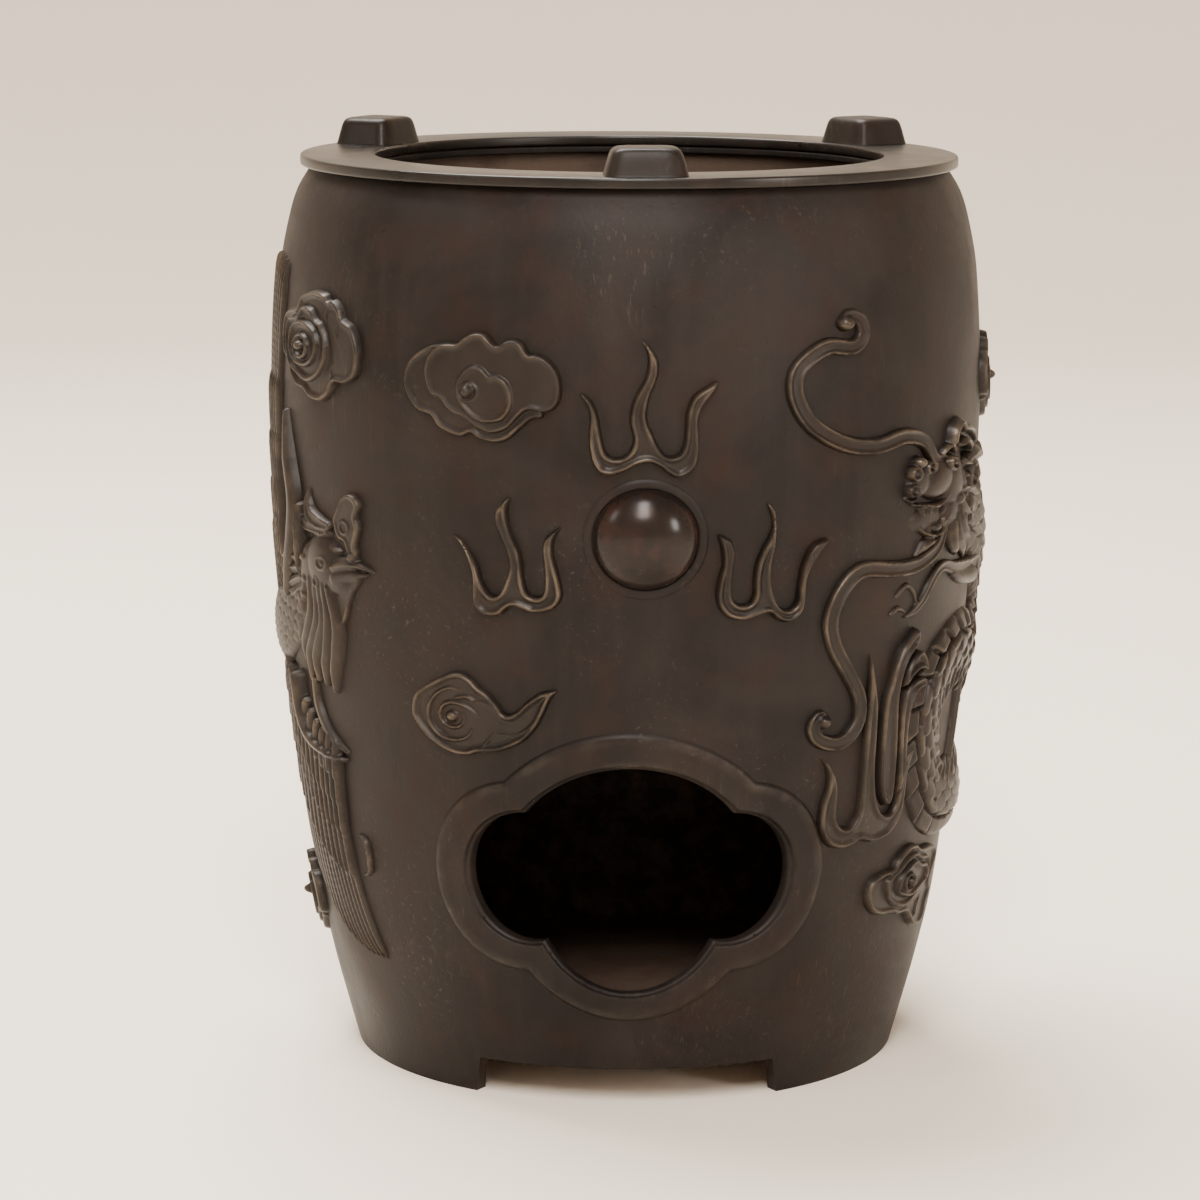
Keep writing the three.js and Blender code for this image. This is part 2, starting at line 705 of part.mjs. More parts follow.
/** Phoenix head with beak, comb, crest and wattle. */
function phoenixHead() {
  return fuse([
    lump([-88, 137], [8.5, 7], 5.2, 0, 10),
    strand([[-84, 137], [-78, 138.5], [-70.5, 137.5]], [3.6, 2.6, 0.5], [4.4, 3.4, 1], { steps: 5 }),
    strand([[-85, 133.5], [-79, 133], [-74, 134]], [2.6, 2, 0.5], [3.6, 2.6, 1], { steps: 6 }),
    lump([-79, 147], [3.6, 4.4], 3.4, 20),
    lump([-77, 152.5], [3.8, 3.4], 2.8, 20),
    lump([-82.5, 143.5], [3.6, 3.2], 3.6),
    strand([[-86, 143], [-94, 145], [-99, 149], [-97, 154]], [2.6, 2.6, 2, 0.5], [4, 3.8, 3.2, 1]),
    strand([[-88, 141], [-97, 141], [-103, 145], [-104, 151]], [2.6, 2.6, 2, 0.5], [4, 3.8, 3.2, 1]),
    strand([[-83, 131], [-82.5, 125.5], [-84, 121]], [2.2, 2.4, 1], [3, 2.8, 1.4], { steps: 6 }),
  ]);
}

/** Neck with hanging plumes. */
function phoenixNeck() {
  return fuse([
    wing([[-86, 130], [-94, 131], [-103, 132]], [[-88, 106], [-99, 103], [-113, 104]], 5, [[1, 4.4, 2.4]]),
    wing([[-98, 139], [-100, 134], [-102, 130]], [[-112, 140], [-117, 129], [-121, 117]], 4,
      [[1, 4.6, 2.5]]),
  ]);
}

/** Breast and body, which the wings grow from. */
function phoenixBody() {
  return fuse([
    lump([-131, 113], [22, 12.5], 6.4, 12, 12),
    strand([[-104, 126], [-114, 121], [-124, 117], [-131, 113]], [7, 9, 10, 9], [4.6, 5, 6, 6],
      { steps: 6, columns: 4 }),
  ]);
}

/** Lower wing: two rows of coverts below its rim, then long flight feathers. */
function phoenixLowerWing() {
  return fuse([
    wing([[-90, 86], [-101, 91], [-113, 98], [-128, 105]],
      [[-76, 32.5], [-87, 33.5], [-101, 40], [-115, 54]],
      8, [[0.3, 5, 4], [0.55, 4, 3], [1, 3, 1.6]], -3),
    strand([[-88, 86], [-95, 90.5], [-104, 98], [-114, 108]], [1.6, 2.4, 3, 3], [3, 4.6, 5.2, 5.2]),
  ]);
}

/** Upper wing, spread towards the shoulder of the barrel. */
function phoenixUpperWing() {
  return fuse([
    wing([[-116, 124], [-128, 122], [-141, 120]],
      [[-117, 211], [-130, 214], [-146, 208], [-163, 195]],
      8, [[0.33, 5.2, 4.6], [0.6, 4.6, 3.6], [1, 3.6, 1.6]], 2),
    strand([[-112, 124], [-110, 138], [-111, 150], [-113, 164], [-112, 177]],
      [3, 3, 2.8, 2.4, 0.8], [5, 5, 4.6, 3.6, 1.4], { steps: 7 }),
  ]);
}

/** Long tail plumes that sweep to the back. */
function phoenixTail() {
  const plume = (points) => strand(points, [3.6, 4, 3.6, 4.4, 1], [4.6, 4.4, 4, 4, 1], { steps: 12 });
  return fuse([
    plume([[-144, 118], [-168, 128], [-190, 146], [-212, 150], [-230, 138]]),
    plume([[-144, 113], [-172, 112], [-196, 122], [-220, 118], [-238, 102]]),
    plume([[-142, 107], [-168, 96], [-190, 96], [-212, 88], [-226, 70]]),
  ]);
}

/** The whole dragon as one casting, with its two whiskers and the flames below it. */
function dragon() {
  const upperWhisker = curl([[88, 165], [82, 170.5], [74, 172.5], [65, 171], [55, 172.5],
    [46, 177.5], [41.5, 184], [41, 190], [44, 194], [50, 197], [57, 196.5], [60.5, 199],
    [60, 203], [56, 204.5], [54, 202.5]], 2.4, 3.2, 22);
  const lowerWhisker = curl([[98, 145], [94, 140.5], [85, 138], [72, 139.5], [62, 139.5], [56, 135],
    [53, 128], [54.5, 121], [59, 114], [63, 107], [63.5, 101], [61, 97], [56.5, 95.5],
    [51.5, 97], [49.5, 100], [51, 103], [53.5, 101.5]], 2.3, 3, 25);
  return fuse([dragonHead(), upperWhisker, lowerWhisker, dragonForeleg(), dragonBody(),
    dragonFin(), dragonFlame(), dragonHindleg(), dragonTail()]);
}

/** The whole phoenix as one casting. */
function phoenix() {
  return fuse([phoenixHead(), phoenixNeck(), phoenixBody(), phoenixLowerWing(), phoenixUpperWing(),
    phoenixTail()]);
}

const bronze = { color: 0x3d352f, roughness: 0.5, metalness: 0.7 };
const finishes = {
  barrel: bronze,
  ring: { color: 0x4a433c, roughness: 0.42, metalness: 0.75 },
  relief: { color: 0x42382f, roughness: 0.46, metalness: 0.7 },
  jewel: { color: 0x4a332c, roughness: 0.25, metalness: 0.75 },
  inside: { color: 0x2c2420, roughness: 0.75, metalness: 0.4 },
};

/** A named mesh with its own material. */
function piece(name, geometry, finish) {
  const mesh = new THREE.Mesh(geometry, new THREE.MeshStandardMaterial(finishes[finish]));
  mesh.name = name;
  return mesh;
}

/** The barrel with its notches and port cut out. */
function barrel() {
  const notches = Array.from({ length: legCount }, (_, i) => notchCutter((2 * Math.PI * i) / legCount));
  return carve(barrelShell(), [...notches, portCutter()]);
}

/** The floor plate, fitted to the inside of the wall. */
function floorPlate() {
  const bottomRadius = barrelRadius(floorBottom) - barrelWall - seam - floorPlay;
  const disc = new THREE.CylinderGeometry(bottomRadius, bottomRadius, floorThickness, barrelSides);
  disc.rotateX(Math.PI / 2);
  disc.translate(0, 0, floorBottom + floorThickness / 2);
  return merged(disc);
}

/** The jewel's dome, with a short straight edge under it. */
function jewelDome() {
  const [u, z] = jewelPlace;
  const spokes = 18;
  const ring = (share, lift) => Array.from({ length: spokes }, (_, i) => {
    const angle = (2 * Math.PI * i) / spokes;
    return place(u + jewelRadius * share * Math.cos(angle), z + jewelRadius * share * Math.sin(angle),
      seam + lift);
  });
  const domed = [0.98, 0.88, 0.66, 0.36, 0.12].map((share) =>
    ring(share, jewelEdge + (jewelHeight - jewelEdge) * Math.sqrt(1 - share * share)));
  return loft([ring(0.5, 0), ring(1, 0), ring(1, jewelEdge), ...domed]);
}

/** The low ring that the jewel sits in. */
function jewelSetting() {
  const [u, z] = jewelPlace;
  const spokes = 18;
  const section = [[settingInner, 0], [settingOuter, 0], [settingOuter, settingProud / 2],
    [(settingInner + settingOuter) / 2, settingProud], [settingInner, settingProud / 2]];
  const points = section.flatMap(([radius, lift]) => Array.from({ length: spokes }, (_, i) => {
    const angle = (2 * Math.PI * i) / spokes;
    return place(u + radius * Math.cos(angle), z + radius * Math.sin(angle), seam + lift);
  }));
  const triangles = section.flatMap((_, r) => Array.from({ length: spokes }, (__, i) => {
    const j = (i + 1) % spokes;
    const next = ((r + 1) % section.length) * spokes;
    return [[r * spokes + i, r * spokes + j, next + j], [r * spokes + i, next + j, next + i]];
  }).flat());
  return closedMesh(points, triangles);
}

const brazier = new THREE.Group();
brazier.add(piece('barrel', barrel(), 'barrel'));
brazier.add(piece('floor_plate', floorPlate(), 'inside'));
brazier.add(piece('port_frame', portBand(), 'barrel'));
brazier.add(piece('fire_bowl', bowlShell(), 'inside'));

const grate = piece('grate', grateDisc(), 'inside');
grate.position.z = bowlBottom + bowlWall + seam;
brazier.add(grate);

const ringGroup = new THREE.Group();
ringGroup.rotation.z = ringTurn * degrees;
ringGroup.add(piece('pot_ring', ringDisc(), 'ring'));
['front', 'right', 'left'].slice(0, restCount).forEach((side, i) => {
  const angle = (2 * Math.PI * i) / restCount;
  const rest = piece(`pot_rest_${side}`, restBlock(), 'ring');
  rest.position.set(restCentreRadius * Math.sin(angle), -restCentreRadius * Math.cos(angle),
    ringTop + seam);
  rest.rotation.z = angle;
  ringGroup.add(rest);
});
brazier.add(ringGroup);
brazier.add(piece('ring_hoop', hoop(), 'inside'));

brazier.add(piece('jewel', jewelDome(), 'jewel'));
brazier.add(piece('jewel_setting', jewelSetting(), 'relief'));
brazier.add(piece('flame_top', flame([4.5, 168], 1), 'relief'));
brazier.add(piece('flame_left', flame([-27.5, 131.5], 0.86), 'relief'));
brazier.add(piece('flame_right', flame([35.5, 130.5], 0.86), 'relief'));
brazier.add(piece('cloud_front', cloudPlate([-36, 187], [21, 14], 7, 3.8), 'relief'));
brazier.add(piece('cloud_left', cloudPlate([-93, 192.5], [20, 14.5], 8, 4.2), 'relief'));
brazier.add(piece('cloud_spiral', spiralCloud(), 'relief'));
brazier.add(piece('cloud_right_low', cloudPlate([93, 50], [19, 11], 7, 4.2), 'relief'));
brazier.add(piece('cloud_right_high', cloudPlate([142, 181], [16, 12], 6, 4), 'relief'));
brazier.add(piece('cloud_left_low', cloudPlate([-131, 41], [15, 11.5], 6, 4), 'relief'));
brazier.add(piece('cloud_back', cloudPlate([282.7, 168], [22, 14], 7, 5.2), 'relief'));

brazier.add(piece('dragon', dragon(), 'relief'));
brazier.add(piece('phoenix', phoenix(), 'relief'));

export default brazier;
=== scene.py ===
"""Dressed model of a cast bronze tea brazier with dragon and phoenix relief.

Sizes inside the classes are millimetres, as a founder would write them, and MM turns them into the
frame's metres. A place on the barrel is written (u, z): u is the arc round the wall from the front,
measured on the unrolling radius and positive towards +X, and z is the height above the table.
"""

from __future__ import annotations

import json
import logging
import math
from dataclasses import dataclass, replace
from enum import Enum
from typing import Callable, Sequence

import bpy
import numpy as np
from mathutils import Matrix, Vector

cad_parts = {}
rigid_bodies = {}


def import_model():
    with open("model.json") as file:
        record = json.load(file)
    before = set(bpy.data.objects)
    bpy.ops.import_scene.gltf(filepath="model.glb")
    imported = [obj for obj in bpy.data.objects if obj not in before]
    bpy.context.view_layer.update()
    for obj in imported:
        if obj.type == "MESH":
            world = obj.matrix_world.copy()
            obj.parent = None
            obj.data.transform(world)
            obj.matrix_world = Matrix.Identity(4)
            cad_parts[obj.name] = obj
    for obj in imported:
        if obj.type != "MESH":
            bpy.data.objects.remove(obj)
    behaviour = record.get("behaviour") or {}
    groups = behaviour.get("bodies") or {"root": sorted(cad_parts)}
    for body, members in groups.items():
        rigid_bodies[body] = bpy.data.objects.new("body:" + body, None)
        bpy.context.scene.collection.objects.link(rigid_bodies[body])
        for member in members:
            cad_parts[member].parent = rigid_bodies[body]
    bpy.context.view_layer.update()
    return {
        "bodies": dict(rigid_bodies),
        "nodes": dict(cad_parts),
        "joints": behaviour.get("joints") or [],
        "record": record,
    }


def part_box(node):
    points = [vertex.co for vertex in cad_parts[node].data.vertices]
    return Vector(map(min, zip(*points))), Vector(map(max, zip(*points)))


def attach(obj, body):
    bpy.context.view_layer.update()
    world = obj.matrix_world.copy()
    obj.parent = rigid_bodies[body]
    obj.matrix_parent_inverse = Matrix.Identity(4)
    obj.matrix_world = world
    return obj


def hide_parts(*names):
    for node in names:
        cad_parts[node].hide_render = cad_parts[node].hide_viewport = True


LOG = logging.getLogger("tea_brazier")

MM = 0.001
Array = np.ndarray
Pair = tuple[float, float]
Points = tuple[Pair, ...]
Place = tuple[float, float, float]
Colour = tuple[float, float, float]


def smooth_through(stations: Sequence[Pair], x: Array) -> Array:
    """A smooth curve y(x) through stations, as a cubic between each two with neighbour slopes.

    Args:
        stations: Pairs (x, y) in rising order of x.
        x: Where the curve is wanted.

    Returns:
        The curve's value at each x, held level beyond the ends.
    """
    xs, ys = np.array(stations, float).T
    before = np.r_[0, np.arange(len(xs) - 1)]
    after = np.r_[np.arange(1, len(xs)), len(xs) - 1]
    slopes = (ys[after] - ys[before]) / (xs[after] - xs[before])
    i = np.clip(np.searchsorted(xs, x, side="right") - 1, 0, len(xs) - 2)
    span = xs[i + 1] - xs[i]
    t = np.clip((x - xs[i]) / span, 0, 1)
    rise = t * t * (3 - 2 * t)
    lead = t * (1 - t) ** 2 * slopes[i]
    trail = t * t * (t - 1) * slopes[i + 1]
    return ys[i] + (ys[i + 1] - ys[i]) * rise + span * (lead + trail)


def smooth_curve(points: Sequence[Pair], count: int, closed: bool = False) -> Array:
    """A Catmull-Rom curve through given points.

    Args:
        points: The points (u, z) that the curve passes through.
        count: How many samples are wanted.
        closed: Whether the curve returns to its first point.

    Returns:
        Samples as an array of count rows and two columns.
    """
    knots = np.array(points, float)
    if closed:
        padded = np.vstack([knots[-1], knots, knots[0], knots[1]])
        spans = len(knots)
    else:
        padded = np.vstack([2 * knots[0] - knots[1], knots, 2 * knots[-1] - knots[-2]])
        spans = len(knots) - 1
    t = np.linspace(0, spans, count, endpoint=not closed)
    i = np.minimum(t.astype(int), spans - 1)
    f = (t - i)[:, None]
    a, b, c, d = padded[i], padded[i + 1], padded[i + 2], padded[i + 3]
    return 0.5 * (2 * b + (c - a) * f + (2 * a - 5 * b + 4 * c - d) * f**2 + (3 * b - a - 3 * c + d) * f**3)


def turned(angle: Array, r: Array, z: Array) -> Array:
    """Points at radius r and height z, turned from the front about the Z axis: (r sin, -r cos, z)."""
    return np.stack(np.broadcast_arrays(r * np.sin(angle), -r * np.cos(angle), z), -1)


@dataclass(frozen=True)
class Wall:
    """The barrel's outside, which the relief is laid on.

    The radius at a height follows a smooth curve through shares of the swell from the foot to the
    belly, and then through shares of the fall from the belly to the mouth.
    """

    height: float
    belly_radius: float
    foot_radius: float = 72.7
    belly_height: float = 182.0
    mouth_radius: float = 84.0
    thickness: float = 4.0
    unroll_radius: float = 90.0
    lower_swell: Points = (
        (0, 0), (0.055, 0.133), (0.137, 0.321), (0.247, 0.524), (0.44, 0.717), (0.66, 0.8745),
        (0.88, 0.983), (1, 1),
    )
    shoulder_fall: Points = ((0.516, 0.157), (0.737, 0.377), (0.884, 0.622), (1, 1))

    @classmethod
    def from_frame(cls) -> "Wall":
        """The wall at the size of the barrel in the frame."""
        low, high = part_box("barrel")
        return cls(height=high[2] / MM, belly_radius=(high[0] - low[0]) / 2 / MM)

    def radius(self, z: Array) -> Array:
        """The outside radius at each height."""
        swell = self.belly_radius - self.foot_radius
        fall = self.belly_radius - self.mouth_radius
        above = self.height - self.belly_height
        stations = [(h * self.belly_height, self.foot_radius + s * swell) for h, s in self.lower_swell]
        stations += [
            (self.belly_height + h * above, self.belly_radius - s * fall) for h, s in self.shoulder_fall
        ]
        return smooth_through(stations, np.asarray(z, float))

    def place(self, u: Array, z: Array, lift: Array | float) -> Array:
        """Points at arc u and height z, lifted off the wall along its radius, in metres.

        Args:
            u: Arc from the front on the unrolling radius.
            z: Height above the table.
            lift: Distance off the outside of the wall.

        Returns:
            An array with x, y and z in its last axis.
        """
        return turned(np.asarray(u, float) / self.unroll_radius, self.radius(z) + lift, z) * MM


def closed_shell(outer: Array, inner: Array, keep: Array, wrap: bool = False) -> tuple[Array, Array, Array]:
    """A closed body between two grids of points, less the cells that aren't kept.

    Each kept cell gives one outward quad on the outer grid and one inward quad on the inner grid,
    and every edge between a kept and a missing cell gets a quad that joins the two grids.

    Args:
        outer: Points by row and column, with rows rising and columns running counterclockwise.
        inner: The matching points on the other side.
        keep: Which cells stay, one row and column fewer than the points, or as many columns on a
            grid that wraps.
        wrap: Whether the last column meets the first again.

    Returns:
        The points, the quads as rows of four indices, and each point's place in the outer grid
        or, counted on from there, in the inner one.
    """
    rows, cols = outer.shape[:2]
    index = np.arange(rows * cols).reshape(rows, cols)
    right = np.roll(index, -1, axis=1) if wrap else index[:, 1:]
    left = index if wrap else index[:, :-1]
    a, b, c, d = left[:-1], right[:-1], right[1:], left[1:]
    shift = rows * cols
    pad = np.pad(keep, ((1, 1), (0, 0)))
    below, above = pad[:-2], pad[2:]
    if wrap:
        before, after = np.roll(keep, 1, axis=1), np.roll(keep, -1, axis=1)
    else:
        side = np.pad(keep, ((0, 0), (1, 1)))
        before, after = side[:, :-2], side[:, 2:]

    def wall(p: Array, q: Array, open_side: Array) -> Array:
        edge = keep & ~open_side
        return np.stack([q[edge], p[edge], p[edge] + shift, q[edge] + shift], 1)

    quads = np.vstack([
        np.stack([a[keep], b[keep], c[keep], d[keep]], 1),
        np.stack([d[keep], c[keep], b[keep], a[keep]], 1) + shift,
        wall(a, b, below), wall(b, c, after), wall(c, d, above), wall(d, a, before),
    ])
    used, quads = np.unique(quads, return_inverse=True)
    points = np.vstack([outer.reshape(-1, 3), inner.reshape(-1, 3)])[used]
    return points, quads.reshape(-1, 4), used


def swept_loop(sections: Array) -> tuple[Array, Array]:
    """A closed skin through sections that are closed rings, where the last section meets the first.

    Args:
        sections: Points by section and place round the section.

    Returns:
        The points and the quads.
    """
    rows, cols = sections.shape[:2]
    index = np.arange(rows * cols).reshape(rows, cols)
    up, on = np.roll(index, -1, axis=0), np.roll(index, -1, axis=1)
    quads = np.stack([index, on, np.roll(up, -1, axis=1), up], -1).reshape(-1, 4)
    return sections.reshape(-1, 3), quads


def ring_quads(rows: int, sides: int) -> Array:
    """Quads between rings laid one over another, with as many points in each ring.

    Args:
        rows: How many rings there are.
        sides: How many points a ring has.

    Returns:
        The quads, facing out where the rings run counterclockwise seen from above.
    """
    first = np.arange(sides)
    on = np.roll(first, -1)
    up = (np.arange(rows - 1) * sides)[:, None]
    return np.stack([up + first, up + on, up + on + sides, up + first + sides], -1).reshape(-1, 4)


def capped_stack(rings: Array, foot: Array, tip: Array) -> tuple[Array, list[Array]]:
    """A closed body from rings one over another, with a fan of triangles to a pole at each end.

    Args:
        rings: Points by ring and place in the ring, counterclockwise seen from the tip.
        foot: The pole below the first ring.
        tip: The pole above the last ring.

    Returns:
        The points, and the faces as quads and triangles.
    """
    rows, sides = rings.shape[:2]
    first = np.arange(sides)
    on = np.roll(first, -1)
    last, count = (rows - 1) * sides, rows * sides
    fans = np.vstack([
        np.stack([np.full(sides, count), on, first], 1),
        np.stack([np.full(sides, count + 1), first + last, on + last], 1),
    ])
    return np.vstack([rings.reshape(-1, 3), foot, tip]), [ring_quads(rows, sides), fans]


def revolved(profile: Array, sides: int) -> tuple[Array, Array]:
    """A closed profile (r, z) carried round the Z axis, in metres.

    Args:
        profile: Points that run counterclockwise in the r, z plane.
        sides: How many steps go round.

    Returns:
        The points and the quads.
    """
    angle = np.linspace(0, 2 * math.pi, sides, endpoint=False)[:, None]
    return swept_loop(turned(angle, *profile.T) * MM)


def rounded(corners: Sequence[Pair], radius: float, steps: int = 5, most: float = 0.45) -> Array:
    """A closed profile with its corners rounded by a curve of two blended edges.

    Args:
        corners: The corners of the profile.
        radius: How far from a corner its rounding starts.
        steps: Points on each rounding.
        most: The largest share of the shorter edge that a rounding takes.

    Returns:
        The profile's points.
    """
    p = np.array(corners, float)
    back, on = np.roll(p, 1, axis=0) - p, np.roll(p, -1, axis=0) - p
    size_back, size_on = np.linalg.norm(back, axis=1), np.linalg.norm(on, axis=1)
    cut = np.minimum(radius, most * np.minimum(size_back, size_on))[:, None]
    start = p + back / size_back[:, None] * cut
    end = p + on / size_on[:, None] * cut
    t = np.linspace(0, 1, steps)[None, :, None]
    arc = (1 - t) ** 2 * start[:, None] + 2 * t * (1 - t) * p[:, None] + t**2 * end[:, None]
    return arc.reshape(-1, 2)


def make_piece(
    name: str, points: Array, faces: Array | list[Array], crease: float = 40.0,
    masks: dict[str, Array] | None = None,
) -> bpy.types.Object:
    """An object whose mesh holds the points and faces, smooth but for creases.

    Args:
        name: The piece's name.
        points: Points in metres.
        faces: Rows of vertex indices, or a list of such arrays with rows of different lengths.
        crease: Angle in degrees above which an edge is shaded sharp.
        masks: Values by point that the finishes read as attributes.

    Returns:
        The new object, linked to the scene.
    """
    mesh = bpy.data.meshes.new(name)
    groups = faces if isinstance(faces, list) else [faces]
    sizes = np.concatenate([np.full(len(group), group.shape[1], dtype=np.int32) for group in groups])
    loops = np.concatenate([group.ravel() for group in groups]).astype(np.int32)
    mesh.vertices.add(len(points))
    mesh.vertices.foreach_set("co", points.astype(np.float32).ravel())
    mesh.loops.add(len(loops))
    mesh.loops.foreach_set("vertex_index", loops)
    mesh.polygons.add(len(sizes))
    mesh.polygons.foreach_set("loop_start", (np.cumsum(sizes) - sizes).astype(np.int32))
    mesh.polygons.foreach_set("loop_total", sizes)
    mesh.polygons.foreach_set("use_smooth", np.ones(len(sizes), dtype=bool))
    mesh.update(calc_edges=True)
    mesh.validate()
    mesh.set_sharp_from_angle(angle=math.radians(crease))
    for mask, values in (masks or {}).items():
        attribute = mesh.attributes.new(mask, "FLOAT", "POINT")
        attribute.data.foreach_set("value", values.astype(np.float32))
    piece = bpy.data.objects.new(name, mesh)
    bpy.context.scene.collection.objects.link(piece)
    return piece


def settle(piece: bpy.types.Object, body: str, finish: "BronzeFinish", *nodes: str) -> None:
    """Ride a piece on its body, give it its finish and let it stand for its solids.

    Args:
        piece: The object to settle.
        body: The body it moves with.
        finish: Its finish, which names its material slot.
        nodes: The solids that it stands for.
    """
    piece.data.materials.clear()
    piece.data.materials.append(finish.material())
    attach(piece, body)
    if nodes:
        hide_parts(*nodes)
    LOG.info("%s: %d faces on %s", piece.name, len(piece.data.polygons), body)


class ShaderBoard:
    """Places and links the nodes of one material or node group."""

    def __init__(self, tree: bpy.types.NodeTree) -> None:
        """Take the tree that the nodes go into."""
        self.tree = tree

    def add(
        self, kind: str, inputs: dict[str | int, object] | None = None, **settings: object
    ) -> bpy.types.Node:
        """Add a node, set its properties, and set or link its inputs.

        Args:
            kind: The node's type name.
            inputs: Values or output sockets by input name or number.
            settings: Properties of the node.

        Returns:
            The new node.
        """
        node = self.tree.nodes.new(kind)
        for key, value in settings.items():
            setattr(node, key, value)
        for key, value in (inputs or {}).items():
            if isinstance(value, bpy.types.NodeSocket):
                self.tree.links.new(value, node.inputs[key])
            else:
                node.inputs[key].default_value = value
        return node

    def noise(self, where: object, scale: object, detail: float = 4.0, **more: object) -> object:
        """The value of a noise pattern of so many cells per metre."""
        inputs = {"Vector": where, "Scale": scale, "Detail": detail, "Roughness": 0.6} | more
        return self.add("ShaderNodeTexNoise", inputs).outputs["Fac"]

    def ramp(
        self, value: object, low: float, high: float, to_low: float = 0.0, to_high: float = 1.0
    ) -> object:
        """A value stretched from one range to another and held inside it."""
        inputs = {"Value": value, "From Min": low, "From Max": high, "To Min": to_low, "To Max": to_high}
        return self.add("ShaderNodeMapRange", inputs).outputs["Result"]

    def maths(self, how: str, first: object, second: object) -> object:
        """Two values worked into one."""
        return self.add("ShaderNodeMath", {0: first, 1: second}, operation=how).outputs["Value"]

    def product(self, first: object, *others: object) -> object:
        """Two or more values multiplied."""
        for other in others:
            first = self.maths("MULTIPLY", first, other)
        return first

    def drawn_out(self, where: object, share: float, turn: Place = (0.0, 0.0, 0.0)) -> object:
        """A place whose turned Z counts for a share, so that patterns run long that way."""
        inputs = {"Vector": where, "Rotation": turn, "Scale": (1.0, 1.0, share)}
        return self.add("ShaderNodeMapping", inputs).outputs["Vector"]

    def blend(self, share: object, first: object, second: object) -> object:
        """Two colours mixed by a share, through the mix node's colour sockets."""
        node = self.add("ShaderNodeMix", {0: share, 6: first, 7: second}, data_type="RGBA")
        return node.outputs[2]


class Effect(Enum):
    """Shader effects that several finishes share, each one node group."""

    MOTTLE = "mottled_patina"
    GRAIN = "cast_grain"
    WEAR_AND_SHADE = "worn_and_shaded_relief"


def open_group(
    effect: Effect, inputs: dict[str, str], outputs: dict[str, str]
) -> tuple[ShaderBoard, object, object]:
    """A new node group with named sockets.

    Args:
        effect: Which effect the group is.
        inputs: Kind of socket by input name.
        outputs: Kind of socket by output name.

    Returns:
        A board on the group, the outputs of its input node, and its output node.
    """
    tree = bpy.data.node_groups.new(effect.value, "ShaderNodeTree")
    for name, kind in inputs.items():
        tree.interface.new_socket(name=name, in_out="INPUT", socket_type=f"NodeSocket{kind}")
    for name, kind in outputs.items():
        tree.interface.new_socket(name=name, in_out="OUTPUT", socket_type=f"NodeSocket{kind}")
    board = ShaderBoard(tree)
    return board, board.add("NodeGroupInput").outputs, board.add("NodeGroupOutput")


def mottle_group() -> bpy.types.NodeTree:
    """Patina: clouds of a second tone, stains of a third, faint runs, pale specks and slanted scratches."""
    board, given, result = open_group(
        Effect.MOTTLE,
        {"Dark": "Color", "Light": "Color", "Stain": "Color", "Speck": "Color", "Scale": "Float"},
        {"Color": "Color", "Cloud": "Float"},
    )
    where = board.add("ShaderNodeTexCoord").outputs["Object"]

    def pattern(finer: float, detail: float, low: float, high: float, place: object = where) -> object:
        """A noise so many times finer than the clouds, stretched between two of its levels."""
        return board.ramp(board.noise(place, board.product(given["Scale"], finer), detail), low, high)

    cloud = board.ramp(board.noise(where, given["Scale"], 6.0, Distortion=0.6), 0.36, 0.68)
    stains = board.product(pattern(3.1, 5.0, 0.5, 0.72), 0.6)
    runs = board.product(pattern(9.0, 4.0, 0.5, 0.7, board.drawn_out(where, 0.09)), 0.3)
    specks = board.product(pattern(34.0, 3.0, 0.6, 0.7), pattern(1.3, 3.0, 0.5, 0.68), 0.6)
    slanted = board.drawn_out(where, 0.07, (0.0, 0.9, 0.4))
    scratches = board.product(pattern(60.0, 2.0, 0.6, 0.7, slanted), pattern(0.9, 2.0, 0.52, 0.66), 0.55)
    colour = board.blend(cloud, given["Dark"], given["Light"])
    for share, tone in ((stains, "Stain"), (runs, "Light"), (specks, "Speck"), (scratches, "Speck")):
        colour = board.blend(share, colour, given[tone])
    board.tree.links.new(colour, result.inputs["Color"])
    board.tree.links.new(cloud, result.inputs["Cloud"])
    return board.tree


def grain_group() -> bpy.types.NodeTree:
    """Height of a cast and hand-finished skin: soft waves, sand grain and a few small pits."""
    given_kinds = {"Grain": "Float", "Pits": "Float"}
    board, given, result = open_group(Effect.GRAIN, given_kinds, {"Height": "Float"})
    where = board.add("ShaderNodeTexCoord").outputs["Object"]
    waves = board.noise(where, 55.0, 3.0)
    sand = board.product(board.noise(where, 900.0, 4.0), given["Grain"])
    pits = board.ramp(board.noise(where, 310.0, 2.0), 0.24, 0.33, 1.0, 0.0)
    height = board.maths("ADD", board.product(waves, 1.2), sand)
    height = board.maths("SUBTRACT", height, board.product(pits, given["Pits"]))
    board.tree.links.new(height, result.inputs["Height"])
    return board.tree


def wear_and_shade_group() -> bpy.types.NodeTree:
    """Masks of a relief: rubbed crests, and hollows of wax, dust and painted shade, both broken up by
    noise.
    """
    masks = {"Crest": "Float", "Hollow": "Float"}
    board, given, result = open_group(Effect.WEAR_AND_SHADE, {"Spread": "Float"}, masks)
    where = board.add("ShaderNodeTexCoord").outputs["Object"]
    broken = board.ramp(board.noise(where, given["Spread"], 5.0), 0.42, 0.66, 0.08, 1.0)
    for name in masks:
        mask = board.add("ShaderNodeAttribute", attribute_name=name.lower()).outputs["Fac"]
        board.tree.links.new(board.product(mask, broken), result.inputs[name])
    return board.tree


GROUPS: dict[Effect, Callable[[], bpy.types.NodeTree]] = {
    Effect.MOTTLE: mottle_group,
    Effect.GRAIN: grain_group,
    Effect.WEAR_AND_SHADE: wear_and_shade_group,
}


